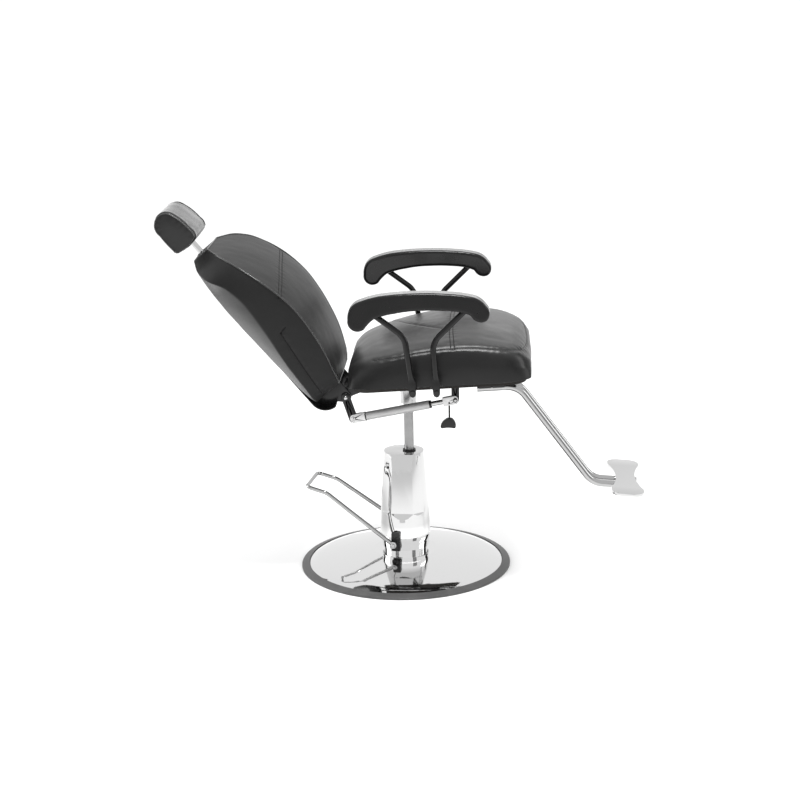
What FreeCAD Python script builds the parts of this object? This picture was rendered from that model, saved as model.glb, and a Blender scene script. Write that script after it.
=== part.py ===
"""Reclining salon chair on a foot-pumped hydraulic base.

Millimetres. The origin is on the floor at the centre of the base disc, +X is the chair's front, +Y its left side
and +Z is up. The chair is drawn raised and reclined. Four local frames carry the sloping pieces:
seat frame, back frame, lever frame and spring frame, each turned about the cross axis Y.
"""

import FreeCAD, Part
import math
import os
import re
import Sketcher

Vector = FreeCAD.Vector

# Driving dimensions: name, value, what it sets
SIZES = [
    ("base_diameter", 580, "outside of the rim ring"),
    ("rim_width", 21, "visible width of the rim ring"),
    ("rim_height", 11.5, "top of the rim ring"),
    ("rim_wall", 2.5, "thickness of the rim ring's lip and floor"),
    ("dish_height", 44, "flat centre of the dish"),
    ("dish_flat", 88, "radius of the flat centre"),
    ("dish_wall", 2.5, "sheet of the dish"),
    ("dish_sweep", 1000, "radius of the dish's long gentle slope"),
    ("shoulder_wide", 34, "width of the shoulder inside the rim ring"),
    ("shoulder_rise", 13, "rise of that shoulder above the ring's lip"),
    ("dish_curve", 125, "radius of the dish's shoulder arc"),
    ("stiffener_radius", 78, "plate under the dish"),
    ("stiffener_thick", 6, "plate under the dish"),
    ("bolt_circle", 46, "radius of the pump's bolt circle"),
    ("bolt_shank", 5, "radius of the base bolts"),
    ("bolt_head", 8, "radius of bolt heads and nuts of the base"),
    ("bolt_head_high", 6, "height of those heads"),
    ("collar_radius", 60, "ring between dish and cover"),
    ("collar_wall", 4, "wall of that ring"),
    ("collar_top", 70, "top of that ring"),
    ("cover_top", 328, "top face of the pump cover"),
    ("cover_top_radius", 55, "cover at its top"),
    ("cover_wide_radius", 68.5, "cover at its widest"),
    ("cover_wide_height", 105, "height of the widest place"),
    ("cover_foot_radius", 64, "cover at its lower edge"),
    ("cover_wall", 3, "wall of the cover"),
    ("cover_belly", 3000, "radius of the cover's long arc"),
    ("flat_reach", 47.9, "broad flats' distance from the axis at the top"),
    ("flat_foot", 59.6, "broad flats' distance from the axis at their foot"),
    ("side_flat_reach", 53.2, "narrow flats' distance from the axis at the top"),
    ("side_flat_foot", 64.1, "narrow flats' distance from the axis at their foot"),
    ("side_flat_turn", 43, "narrow flats turned from the broad ones"),
    ("flat_low", 162, "height where the flats end"),
    ("flat_runout", 12, "height of the slope at the flats' foot"),
    ("flat_turn", 266, "direction of the front flat"),
    ("screw_radius", 3.5, "cover screws"),
    ("screw_drop", 40, "cover screws below the top"),
    ("screw_side", -3.5, "cover screws from the middle of their flat"),
    ("ram_offset", 15, "ram axis in front of the base centre"),
    ("ram_radius", 13.5, "chromed ram"),
    ("ram_low", 190, "lower end of the ram"),
    ("running_fit", 0.06, "radial clearance of turning and sliding fits"),
    ("piston_radius", 18.9, "ram piston"),
    ("piston_high", 18, "ram piston"),
    ("housing_radius", 24, "pump casting"),
    ("housing_foot", 54, "radius of the casting's foot"),
    ("housing_foot_high", 10, "height of the casting's foot"),
    ("gland_long", 22, "guide bush"),
    ("wiper_radius", 17.5, "seal round the ram on the cover"),
    ("wiper_high", 4, "seal above the cover"),
    ("pedal_yaw", 8, "base turned against the seat"),
    ("pedal_pivot_out", 18, "pedal shaft from the base axis"),
    ("pedal_pivot_high", 80, "pedal shaft above the floor"),
    ("pedal_rod", 5.6, "radius of the pedal rod"),
    ("pedal_eye", 9.5, "radius of the pedal's eyes"),
    ("pedal_eye_long", 11, "length of the pedal's eyes"),
    ("pedal_wide_out", 65, "pedal rods apart from the centre at the tread"),
    ("pedal_knee_out", 206, "bend of the pedal rods"),
    ("pedal_knee_high", 215, "bend of the pedal rods"),
    ("pedal_tread_out", 262, "tread bar"),
    ("pedal_tread_high", 231, "tread bar"),
    ("pedal_bend", 15, "bend radius of the tread's corners"),
    ("shaft_radius", 4, "pedal shaft"),
    ("bracket_wide", 24, "pedal bracket cheeks"),
    ("bracket_low", 60, "lower edge of the cheeks"),
    ("bracket_high", 113, "upper edge of the cheeks"),
    ("bracket_gap", 1, "cheek clear of the cover"),
    ("bracket_thick", 9, "cheek thickness"),
    ("cam_reach", 22, "cam from the shaft to its roller end"),
    ("cam_roller", 6, "radius of the cam's round end"),
    ("cam_thick", 10, "cam thickness"),
    ("cam_arm", 3, "half height of the cam's arm"),
    ("plunger_radius", 5, "pump plunger"),
    ("plunger_long", 52, "pump plunger"),
    ("plunger_stroke_room", 12, "bore above the plunger"),
    ("seat_height", 566.6, "underside of the seat cushion above the base centre"),
    ("seat_tilt", 3.05, "seat slopes down to the rear"),
    ("seat_rear", -132, "rear end of the seat cushion"),
    ("seat_front", 348, "front end of the seat cushion"),
    ("seat_half", 256, "half width of the seat cushion"),
    ("seat_shoulder", 103, "height of the cushion's side at its highest"),
    ("seat_crown", 24, "crown above the side"),
    ("seat_draw", 9, "side drawn in at the base"),
    ("board_thick", 9, "seat board"),
    ("board_inset", 14, "seat board inside the cushion's edge"),
    ("board_corner", 45, "corner radius of the seat board"),
    ("crossbar_thick", 6, "flat bar under the board"),
    ("crossbar_wide", 25, "flat bar under the board"),
    ("tab_high", 14, "bar's upturned ends above the board"),
    ("rail_side", 25, "square rails"),
    ("rail_wall", 2.5, "wall of the rails"),
    ("rail_rear", -140, "rear end of the rails"),
    ("rail_front", 280, "front end of the rails"),
    ("plate_thick", 6, "mount plate"),
    ("plate_long", 130, "mount plate"),
    ("plate_wide", 150, "mount plate"),
    ("mount_bolt", 4, "radius of the mount bolts"),
    ("hub_radius", 22, "socket on the ram"),
    ("hub_drop", 102.6, "lower end of the socket below the cushion's underside"),
    ("ram_seat", 40, "ram inside the socket"),
    ("arm_side", 285, "armrest from the middle"),
    ("arm_middle", 62, "armrest middle along the chair"),
    ("arm_rise", 204.4, "armrest's ends above the cushion's underside"),
    ("arm_tilt", 2.3, "armrest slopes down to the rear"),
    ("arm_long", 362, "armrest from end to end"),
    ("arm_high", 94.5, "armrest from its lowest lobe to its top"),
    ("arm_wide", 47, "width of the armrest"),
    ("arm_round", 6, "rounding of the armrest's edges"),
    ("post_radius", 7.6, "arm posts"),
    ("post_bend", 55, "bend of the arm posts"),
    ("paddle_wide", 22, "flattened foot of a post"),
    ("paddle_thick", 9, "flattened foot of a post"),
    ("paddle_long", 60, "flattened foot of a post"),
    ("post_drop", 10.6, "lower end of the posts below the cushion's underside"),
    ("rear_post_foot", 43.5, "rear post's foot along the chair"),
    ("rear_post_lean", 7.1, "rear post leans back"),
    ("rear_post_knee", 160.5, "rear post's bend above its foot"),
    ("rear_post_reach", -74, "rear post's top from its bend"),
    ("rear_post_climb", 71, "rear post's top above its bend"),
    ("front_post_foot", 104.4, "front post's foot along the chair"),
    ("front_post_lean", 3.7, "front post leans back"),
    ("front_post_knee", 145.5, "front post's bend above its foot"),
    ("front_post_reach", 86, "front post's top from its bend"),
    ("front_post_climb", 74, "front post's top above its bend"),
    ("arm_bolt", 4, "radius of the arm bolts"),
    ("arm_bolt_high", 11, "arm bolt above the post's foot"),
    ("foot_side", 23, "footrest tubes from the middle"),
    ("foot_radius", 9.5, "footrest tubes"),
    ("foot_wall", 2, "wall of the footrest tubes"),
    ("foot_rear", 200, "rear end of the footrest tubes"),
    ("foot_drop", 69.5, "tubes below the cushion's underside"),
    ("foot_knee", 310, "upper bend of the tubes"),
    ("foot_ankle", 498, "lower bend of the tubes"),
    ("foot_ankle_drop", 354.6, "lower bend below the cushion's underside"),
    ("foot_toe", 620, "front end of the tubes"),
    ("foot_toe_drop", 370, "front end below the cushion's underside"),
    ("foot_bend", 60, "bend radius of the tubes"),
    ("clamp_plate", 8, "top plate of the footrest clamps"),
    ("clamp_long", 32, "footrest clamps along the tubes"),
    ("clamp_wide", 34, "half width of the clamp blocks"),
    ("clamp_drop", 68, "underside of the clamp blocks below the cushion's underside"),
    ("clamp_rear", 222, "rear clamp"),
    ("clamp_front", 258, "front clamp"),
    ("foot_plate_thick", 8, "footrest plate"),
    ("foot_plate_half", 155, "half width of the footrest plate"),
    ("foot_plate_start", 46, "rear edge of the plate from the lower bend"),
    ("foot_plate_long", 87, "footrest plate along the tubes"),
    ("foot_waist", 17, "plate drawn in at its middle"),
    ("foot_corner", 30, "rounding of the plate's ends"),
    ("foot_seat_gap", 0.2, "plate above the tubes"),
    ("hinge_x", -149.5, "recline axis along the chair"),
    ("hinge_drop", 67.1, "recline axis below the cushion's underside"),
    ("hinge_pin", 6, "radius of the hinge bolts"),
    ("hinge_boss", 15, "radius of the plates round the hinge"),
    ("hinge_plate", 6, "hinge plates and lever"),
    ("hinge_side", 60.7, "inner face of the seat's hinge brackets"),
    ("side_gap", 0.3, "between plates that turn past each other"),
    ("recline", 39.5, "back leans from upright"),
    ("lever_long", 62.5, "recline lever"),
    ("lever_angle", 17.9, "lever points forward from straight down"),
    ("lever_half", 12, "half width of the lever"),
    ("spring_angle", 10.6, "gas spring rises to the front"),
    ("spring_long", 280.7, "between the gas spring's pins"),
    ("spring_pin", 4, "radius of the gas spring's pins"),
    ("spring_radius", 11.6, "gas spring cylinder"),
    ("spring_bore", 9.3, "bore of the cylinder"),
    ("spring_rear", 34.5, "rear end of the cylinder from its pin"),
    ("spring_front", 209, "front end of the cylinder from its pin"),
    ("spring_plug", 10, "closed rear end of the cylinder"),
    ("gland_thick", 6, "black ring on the cylinder"),
    ("rod_radius", 7, "gas spring rod"),
    ("rod_inside", 62, "rod's inner end from the rear pin"),
    ("clevis_half", 8.5, "half height of the clevises"),
    ("clevis_cheek", 4, "cheek of the clevises"),
    ("clevis_throat", 24, "clevis from its pin to the bottom of its slot"),
    ("clevis_base", 10, "solid end of the clevises"),
    ("front_bracket_half", 10.5, "half width of the front spring bracket"),
    ("release_back", 17.5, "release lever's pin behind the front pin"),
    ("release_drop", 3, "release lever's pin below the spring's line"),
    ("release_rod", 2.6, "radius of the release lever"),
    ("release_long", 46, "release lever down to its knob"),
    ("release_eye", 5, "radius of the release lever's eye"),
    ("release_pin", 2, "radius of the release lever's pin"),
    ("knob_wide", 36, "release knob"),
    ("knob_high", 29, "release knob"),
    ("knob_thick", 14, "release knob"),
    ("knob_back", 3.5, "release knob behind its stem"),
    ("back_low", 48, "lower end of the back cushion above the hinge"),
    ("back_top", 541, "upper end of the back cushion above the hinge"),
    ("back_half", 229, "half width of the back cushion"),
    ("back_rear", -65, "rear face of the back cushion"),
    ("back_front", 85, "front edge of the back cushion at its middle"),
    ("back_crown", 21, "crown of the back cushion"),
    ("back_plate_thick", 4, "steel back plate"),
    ("back_plate_half", 90, "half width of the back plate"),
    ("back_plate_low", 48, "lower end of the back plate"),
    ("back_plate_top", 500, "upper end of the back plate"),
    ("shell_thick", 3, "back shell"),
    ("shell_half", 120, "half width of the back shell"),
    ("shell_top", 320, "upper end of the back shell"),
    ("shell_curl", 45, "curl of the shell under the hinge"),
    ("arm_up", 44, "hinge arms above the hinge"),
    ("post_back", -51.5, "headrest post in the back"),
    ("head_post", 8, "radius of the headrest post"),
    ("head_post_low", 440, "lower end of the headrest post"),
    ("head_post_in", 54, "headrest post inside the headrest"),
    ("socket_radius", 13.5, "headrest socket"),
    ("socket_low", 430, "headrest socket"),
    ("socket_top", 520, "headrest socket"),
    ("post_travel_down", 36, "room below the headrest post"),
    ("soft_gap", 0.3, "cushions clear of moving pieces"),
    ("head_low", 577, "lower end of the headrest"),
    ("head_high", 114, "height of the headrest"),
    ("head_thick", 72, "thickness of the headrest"),
    ("head_front", -10, "front of the headrest"),
    ("head_half", 92, "half width of the headrest"),
]

doc = FreeCAD.newDocument("SalonChair")
sheet = doc.addObject("Spreadsheet::Sheet", "Sizes")
for row, (alias, value, note) in enumerate(SIZES, 1):
    sheet.set(f"A{row}", alias)
    sheet.set(f"B{row}", str(value))
    sheet.setAlias(f"B{row}", alias)
    sheet.set(f"C{row}", note)
doc.recompute()
NAMES = {alias for alias, value, note in SIZES}
subparts = {}

# Heights that follow the seat
HINGE_Z = "(seat_height - hinge_drop)"
HUB_LOW = "(seat_height - hub_drop)"
ARM_Z = "(seat_height + arm_rise)"
POST_FOOT = "(seat_height - post_drop)"


# Expressions on the sheet

def val(text):
    """Number that an expression on the sheet gives now."""
    return float(sheet.evalExpression(str(text)))


def bound(text):
    """Expression with the sheet's name put before each size."""
    return re.sub(r"[a-z_]+", lambda m: "Sizes." + m.group() if m.group() in NAMES else m.group(), str(text))


def link(item, prop, text):
    """Bind one property to the sheet, where the expression names a size."""
    if any(word in NAMES for word in re.findall(r"[a-z_]+", str(text))):
        item.setExpression(prop, bound(text))


def turned(origin, angle, along, up):
    """World X and Z of a point in a frame that is turned by angle about the cross axis."""
    x = f"{origin[0]} + ({along}) * cos({angle} * 1deg) - ({up}) * sin({angle} * 1deg)"
    z = f"{origin[1]} + ({along}) * sin({angle} * 1deg) + ({up}) * cos({angle} * 1deg)"
    return x, z


def seat_spot(along, up):
    return turned(("0", "seat_height"), "seat_tilt", along, up)


def back_spot(along, up):
    return turned(("hinge_x", HINGE_Z), "recline", along, up)


REAR_PIN = turned(("hinge_x", HINGE_Z), "lever_angle", "0", "-lever_long")


def spring_spot(along, up):
    return turned(REAR_PIN, "spring_angle", along, up)


def place(item, x="0", y="0", z="0", lean="0", axis=(0, -1, 0)):
    """Set and bind a sub-part's place; lean turns it about axis, in degrees."""
    spin = FreeCAD.Rotation(Vector(*axis), val(lean))
    item.Placement = FreeCAD.Placement(Vector(val(x), val(y), val(z)), spin)
    for letter, text in zip("xyz", (x, y, z)):
        link(item, f"Placement.Base.{letter}", text)
    link(item, "Placement.Rotation.Angle", lean)
    return item


def in_seat(item, y="0"):
    return place(item, "0", y, "seat_height", "seat_tilt")


def in_back(item, y="0"):
    return place(item, "hinge_x", y, HINGE_Z, "recline")


def in_lever(item, y="0"):
    return place(item, "hinge_x", y, HINGE_Z, "lever_angle")


def in_spring(item, y="0"):
    return place(item, REAR_PIN[0], y, REAR_PIN[1], "spring_angle")


def in_pedal(item):
    return place(item, lean="-pedal_yaw", axis=(0, 0, 1))


def keep(label, item):
    """Name a finished sub-part; the label names its file."""
    if label in subparts:
        subparts[label].Label = label + "_blank"
    item.Label = label
    subparts[label] = item
    return item


# Sketches and features

def new_body(label):
    return doc.addObject("PartDesign::Body", label + "_body")


def new_sketch(body, role, lift="0"):
    """Sketch on one of the body's own origin planes, lifted along its normal."""
    sketch = body.newObject("Sketcher::SketchObject", body.Name + "_sketch")
    plane = next(f for f in body.Origin.OriginFeatures if f.Role == role)
    sketch.AttachmentSupport = [(plane, "")]
    sketch.MapMode = "FlatFace"
    sketch.AttachmentOffset = FreeCAD.Placement(Vector(0, 0, val(lift)), FreeCAD.Rotation())
    link(sketch, "AttachmentOffset.Base.z", lift)
    return sketch


def fix(sketch, kind, refs, text):
    """Dimension bound to the sheet."""
    index = sketch.addConstraint(Sketcher.Constraint(kind, *refs, val(text)))
    link(sketch, f"Constraints[{index}]", text)


def arc_between(start, end, radius):
    """Arc of under half a circle; a positive radius turns left, a negative one right."""
    chord = end - start
    left = Vector(-chord.y, chord.x, 0).normalize()
    rise = math.sqrt(radius ** 2 - (chord.Length / 2) ** 2)
    centre = (start + end) * 0.5 + left * math.copysign(rise, radius)
    first, last = (start, end) if radius > 0 else (end, start)
    a = math.atan2(first.y - centre.y, first.x - centre.x)
    b = math.atan2(last.y - centre.y, last.x - centre.x)
    return Part.ArcOfCircle(Part.Circle(centre, Vector(0, 0, 1), abs(radius)), a, b)


def trace(sketch, corners):
    """Closed outline through corners (x, y) or (x, y, radius): a radius makes the edge that arrives an arc."""
    spots = [Vector(val(c[0]), val(c[1]), 0) for c in corners]
    begin = sketch.GeometryCount
    ends = []
    for i, start in enumerate(spots):
        nxt = corners[(i + 1) % len(corners)]
        end = spots[(i + 1) % len(corners)]
        if len(nxt) == 2:
            sketch.addGeometry(Part.LineSegment(start, end), False)
            ends.append((1, 2))
        else:
            sketch.addGeometry(arc_between(start, end, val(nxt[2])), False)
            ends.append((1, 2) if val(nxt[2]) > 0 else (2, 1))
    for i in range(len(corners)):
        j = (i + 1) % len(corners)
        joint = (begin + i, ends[i][1], begin + j, ends[j][0])
        sketch.addConstraint(Sketcher.Constraint("Coincident", *joint))
    for i, corner in enumerate(corners):
        fix(sketch, "DistanceX", (-1, 1, begin + i, ends[i][0]), corner[0])
        fix(sketch, "DistanceY", (-1, 1, begin + i, ends[i][0]), corner[1])
        j = (i + 1) % len(corners)
        if len(corners[j]) == 3:
            fix(sketch, "Radius", (begin + i,), f"abs({corners[j][2]})")


def ring(sketch, x, y, radius):
    """Round hole or disc in a sketch."""
    spot = Vector(val(x), val(y), 0)
    index = sketch.addGeometry(Part.Circle(spot, Vector(0, 0, 1), val(radius)), False)
    fix(sketch, "DistanceX", (-1, 1, index, 3), x)
    fix(sketch, "DistanceY", (-1, 1, index, 3), y)
    fix(sketch, "Radius", (index,), radius)


def pad(body, sketch, depth, symmetric=True):
    feature = body.newObject("PartDesign::Pad", body.Name + "_pad")
    feature.Profile = sketch
    feature.SideType = "Symmetric" if symmetric else "One side"
    feature.Length = val(depth)
    link(feature, "Length", depth)
    return feature


def plate(label, corners, depth, holes=(), role="XZ_Plane", lift="0"):
    """Flat piece: an outline with round holes, padded to both sides of its plane."""
    body = new_body(label)
    sketch = new_sketch(body, role, lift)
    if len(corners) == 1:
        ring(sketch, *corners[0])
    else:
        trace(sketch, corners)
    for hole in holes:
        ring(sketch, *hole)
    pad(body, sketch, depth)
    return keep(label, body)


def spun(label, corners):
    """Turned piece: a profile in radius and height, revolved about the body's Z axis."""
    body = new_body(label)
    sketch = new_sketch(body, "XZ_Plane")
    trace(sketch, corners)
    turn = body.newObject("PartDesign::Revolution", body.Name + "_turn")
    turn.Profile = sketch
    turn.ReferenceAxis = (sketch, ["V_Axis"])
    turn.Angle = 360
    return keep(label, body)


def spine(body, corners, bend):
    """Open path of straight runs with rounded corners."""
    sketch = new_sketch(body, "XZ_Plane")
    spots = [Vector(val(x), val(y), 0) for x, y in corners]
    runs = len(spots) - 1
    for i in range(runs):
        sketch.addGeometry(Part.LineSegment(spots[i], spots[i + 1]), False)
    for i in range(runs - 1):
        sketch.addConstraint(Sketcher.Constraint("Coincident", i, 2, i + 1, 1))
    for i, (x, y) in enumerate(corners):
        spot = (i, 1) if i < runs else (runs - 1, 2)
        fix(sketch, "DistanceX", (-1, 1, *spot), x)
        fix(sketch, "DistanceY", (-1, 1, *spot), y)
    for i in range(runs - 1):
        before = spots[i] * 0.3 + spots[i + 1] * 0.7
        after = spots[i + 1] * 0.7 + spots[i + 2] * 0.3
        sketch.fillet(i, i + 1, before, after, val(bend), True, True)
    for index, shape in enumerate(sketch.Geometry):
        if shape.TypeId == "Part::GeomArcOfCircle":
            fix(sketch, "Radius", (index,), bend)
    return sketch


def pipe(body, path, role, lift, centre, radii):
    """Sweep a round section, or a ring of two radii, along a path that leaves the section's plane squarely."""
    section = new_sketch(body, role, lift)
    for radius in radii:
        ring(section, *centre, radius)
    feature = body.newObject("PartDesign::AdditivePipe", body.Name + "_pipe")
    feature.Profile = section
    feature.Spine = (path, [])
    return feature


def cylinder(label, radius, height):
    item = doc.addObject("Part::Cylinder", label)
    item.Radius = val(radius)
    item.Height = val(height)
    link(item, "Radius", radius)
    link(item, "Height", height)
    return item


def crosswise(label, radius, length, x, z, middle="0"):
    """Cylinder along the cross axis Y, centred on middle."""
    item = cylinder(label, radius, length)
    turn = FreeCAD.Rotation(Vector(1, 0, 0), -90)
    item.Placement = FreeCAD.Placement(Vector(val(x), val(f"{middle} - ({length}) / 2"), val(z)), turn)
    link(item, "Placement.Base.x", x)
    link(item, "Placement.Base.y", f"{middle} - ({length}) / 2")
    link(item, "Placement.Base.z", z)
    return item


def box(label, length, width, height, x="0", y="0", z="0"):
    """Box whose corner nearest the origin's lower side is at x, y, z."""
    item = doc.addObject("Part::Box", label)
    for prop, text in (("Length", length), ("Width", width), ("Height", height)):
        setattr(item, prop, val(text))
        link(item, prop, text)
    return place(item, x, y, z)


def fuse(label, *items):
    item = doc.addObject("Part::MultiFuse", label)
    item.Shapes = list(items)
    item.Refine = True
    return item


def cut(label, base, *tools):
    item = doc.addObject("Part::Cut", label)
    item.Base = base
    item.Tool = tools[0] if len(tools) == 1 else fuse(label + "_tools", *tools)
    return item


def group(label, items):
    """Separate like solids that share one node."""
    item = doc.addObject("Part::Compound", label)
    item.Links = list(items)
    return keep(label, item)


def shaped(label, shape):
    """Free form made from sheet values by a loft or sweep in space."""
    item = doc.addObject("Part::Feature", label)
    item.Shape = shape
    return item


# Base and pump

RIM = "base_diameter / 2"
RIM_IN = "base_diameter / 2 - rim_width"
SHOULDER_IN = f"{RIM_IN} - shoulder_wide"
SHOULDER_Z = "rim_height - rim_wall + shoulder_rise"
DISH_UNDER = "dish_height - dish_wall"
STIFFENER_LOW = "dish_height - dish_wall - stiffener_thick"


def make_base():
    dish = [
        ("0", DISH_UNDER),
        ("dish_flat", DISH_UNDER),
        (SHOULDER_IN, f"{SHOULDER_Z} - dish_wall", "-dish_sweep"),
        (RIM_IN, "rim_height - rim_wall - dish_wall", "-dish_curve"),
        (f"{RIM} - 4", "rim_wall"),
        (f"{RIM} - 4", "rim_wall + dish_wall"),
        (RIM_IN, "rim_height - rim_wall"),
        (SHOULDER_IN, SHOULDER_Z, "dish_curve"),
        ("dish_flat", "dish_height", "dish_sweep"),
        ("0", "dish_height"),
    ]
    disc = spun("base_disc_blank", dish)
    subparts.pop("base_disc_blank")
    holes = bolt_cylinders("disc_hole", "bolt_shank + 0.2", "dish_wall + 2", f"{DISH_UNDER} - 1")
    keep("base_disc", cut("base_disc", disc, *holes))
    lip = [
        (f"{RIM_IN} - 5", "0"),
        (RIM, "0"),
        (RIM, "rim_wall + 1.5"),
        (f"{RIM} - 2", "rim_wall + 3.5", "2.2"),
        (RIM_IN, "rim_height"),
        (RIM_IN, "rim_height - rim_wall"),
        (f"{RIM} - 4", "rim_wall + dish_wall"),
        (f"{RIM} - 4", "rim_wall"),
        (f"{RIM_IN} - 5", "rim_wall"),
    ]
    spun("base_edge_ring", lip)
    blank = cylinder("stiffener_blank", "stiffener_radius", "stiffener_thick")
    place(blank, z=STIFFENER_LOW)
    holes = bolt_cylinders("stiffener_hole", "bolt_shank + 0.2", "stiffener_thick + 2", f"{STIFFENER_LOW} - 1")
    keep("base_stiffener", cut("base_stiffener", blank, *holes))


def bolt_cylinders(label, radius, height, low):
    """Four cylinders on the pump's bolt circle."""
    items = []
    for i in range(4):
        item = cylinder(f"{label}_{i}", radius, height)
        angle = 45 + 90 * i
        place(item, f"bolt_circle * cos({angle} * 1deg)", f"bolt_circle * sin({angle} * 1deg)", low)
        items.append(item)
    return items


def make_base_bolts():
    foot_top = "dish_height + housing_foot_high"
    shank_long = "housing_foot_high + dish_wall + stiffener_thick"
    shanks = bolt_cylinders("base_shank", "bolt_shank", shank_long, STIFFENER_LOW)
    heads = bolt_cylinders("base_head", "bolt_head", "bolt_head_high", foot_top)
    nuts = bolt_cylinders("base_nut", "bolt_head", "bolt_head_high", f"{STIFFENER_LOW} - bolt_head_high")
    bolts = [fuse(f"base_bolt_{i}", *trio) for i, trio in enumerate(zip(shanks, heads, nuts))]
    group("base_bolts", bolts)


def make_collar():
    ring_in = "collar_radius - collar_wall"
    spun("pump_collar", [
        (ring_in, "dish_height"),
        ("collar_radius", "dish_height"),
        ("collar_radius", "collar_top - 2"),
        ("collar_radius - 2", "collar_top", "2"),
        (ring_in, "collar_top"),
    ])


def make_cover():
    shell = spun("cover_blank", [
        ("cover_foot_radius - cover_wall", "collar_top"),
        ("cover_foot_radius", "collar_top"),
        ("cover_wide_radius", "cover_wide_height", "60"),
        ("cover_top_radius", "cover_top", "cover_belly"),
        ("wiper_radius + ram_offset + 2", "cover_top"),
        ("wiper_radius + ram_offset + 2", "cover_top - cover_wall * 3"),
        ("flat_reach - cover_wall * 2", "cover_top - cover_wall * 3"),
        ("flat_foot - cover_wall * 1.5", "flat_low - flat_runout"),
        ("cover_wide_radius - cover_wall", "cover_wide_height"),
    ])
    subparts.pop("cover_blank")
    cap = cylinder("cover_cap", "wiper_radius + ram_offset + 2", "cover_wall * 3")
    place(cap, z="cover_top - cover_wall * 3")
    ram_hole = cylinder("cover_ram_hole", "wiper_radius", "cover_wall * 3 + 2")
    place(ram_hole, "ram_offset", "0", "cover_top - cover_wall * 3 - 1")
    shaft_hole = plate("cover_shaft_hole", [("-pedal_pivot_out", "pedal_pivot_high", "shaft_radius + 3")],
                       "cover_wide_radius * 3")
    subparts.pop("cover_shaft_hole")
    in_pedal(shaft_hole)
    whole = fuse("cover_whole", shell, cap)
    flats = []
    for face, half_turn in (("front", "0"), ("rear", "180")):
        flats.append(flat_cutter(face, "flat_reach", "flat_foot", half_turn))
        for hand, way in (("right", "-"), ("left", "+")):
            flats.append(flat_cutter(f"{face}_{hand}", "side_flat_reach", "side_flat_foot",
                                     f"{half_turn} {way} side_flat_turn"))
    screws = [make_cover_screw(side) for side in (-1, 1)]
    keep("pump_cover", cut("pump_cover", whole, ram_hole, shaft_hole, *flats, *screws))
    group("cover_screws", screws)


def flat_cutter(name, reach, foot, turn):
    """Block that planes one flat, with a sloping run-out at its foot."""
    body = new_body(f"flat_cutter_{name}")
    sketch = new_sketch(body, "XZ_Plane")
    trace(sketch, [
        (f"{reach} - ({foot} - {reach}) / (cover_top - flat_low)", "cover_top + 1"),
        (foot, "flat_low"),
        (f"{foot} + 24", "flat_low - flat_runout * 24 / (cover_wide_radius - flat_foot - 3)"),
        (f"{foot} + 24", "cover_top + 1"),
    ])
    pad(body, sketch, "cover_wide_radius * 2")
    return place(body, lean=f"flat_turn + {turn}", axis=(0, 0, 1))


def make_cover_screw(side):
    """Screw in a narrow flat beside a broad one, near the seam of the cover's halves."""
    label = "cover_screw_right" if side < 0 else "cover_screw_left"
    face = "side_flat_reach + (side_flat_foot - side_flat_reach) * screw_drop / (cover_top - flat_low)"
    spot = ("screw_side", "cover_top - screw_drop", "screw_radius")
    screw = plate(label, [spot], "8", (), "YZ_Plane", f"{face} - 2.6")
    subparts.pop(label)
    half_turn = "0" if side < 0 else "180"
    return place(screw, lean=f"flat_turn + {half_turn} - side_flat_turn", axis=(0, 0, 1))


HOUSING_TOP = "cover_top - cover_wall * 3"
GLAND_LOW = f"{HOUSING_TOP} - gland_long"


def make_pump():
    foot = cylinder("housing_foot_disc", "housing_foot", "housing_foot_high")
    place(foot, z="dish_height")
    barrel = cylinder("housing_barrel", "housing_radius", f"{HOUSING_TOP} - dish_height")
    place(barrel, "ram_offset", "0", "dish_height")
    pump_low = "pedal_pivot_high + cam_roller + 22"
    pump_high = "plunger_long + plunger_stroke_room"
    side = cylinder("housing_side", "plunger_radius + 4", pump_high)
    web = plate("housing_web", [
        ("-pedal_pivot_out - cam_reach", f"{pump_low} + 20"),
        ("0", f"{pump_low} + 20"),
        ("0", f"{pump_low} + {pump_high}"),
        ("-pedal_pivot_out - cam_reach", f"{pump_low} + {pump_high}"),
    ], "plunger_radius * 2")
    subparts.pop("housing_web")
    in_pedal(web)
    bore = cylinder("housing_bore", "piston_radius + running_fit", f"{HOUSING_TOP} - dish_height - 10")
    place(bore, "ram_offset", "0", "dish_height + 11")
    side_spot = ("-(pedal_pivot_out + cam_reach) * cos(pedal_yaw * 1deg)",
                 "(pedal_pivot_out + cam_reach) * sin(pedal_yaw * 1deg)")
    place(side, *side_spot, pump_low)
    side_bore = cylinder("housing_side_bore", "plunger_radius + running_fit", f"{pump_high} - 12")
    place(side_bore, *side_spot, f"{pump_low} - 1")
    holes = bolt_cylinders("housing_hole", "bolt_shank + 0.2", "housing_foot_high + 2", "dish_height - 1")
    whole = fuse("housing_whole", foot, barrel, side, web)
    keep("pump_housing", cut("pump_housing", whole, bore, side_bore, *holes))
    gland = spun("ram_gland", [
        ("ram_radius + running_fit", GLAND_LOW),
        ("piston_radius + running_fit", GLAND_LOW),
        ("piston_radius + running_fit", HOUSING_TOP),
        ("ram_radius + running_fit", HOUSING_TOP),
    ])
    place(gland, "ram_offset")
    wiper = spun("ram_wiper", [
        ("ram_radius + running_fit", HOUSING_TOP),
        ("wiper_radius", HOUSING_TOP),
        ("wiper_radius", "cover_top + wiper_high - 1"),
        ("ram_radius + running_fit", "cover_top + wiper_high"),
    ])
    place(wiper, "ram_offset")
    plunger = cylinder("pump_plunger", "plunger_radius", "plunger_long")
    place(plunger, *side_spot, "pedal_pivot_high + cam_roller + side_gap")
    keep("pump_plunger", plunger)


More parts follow.
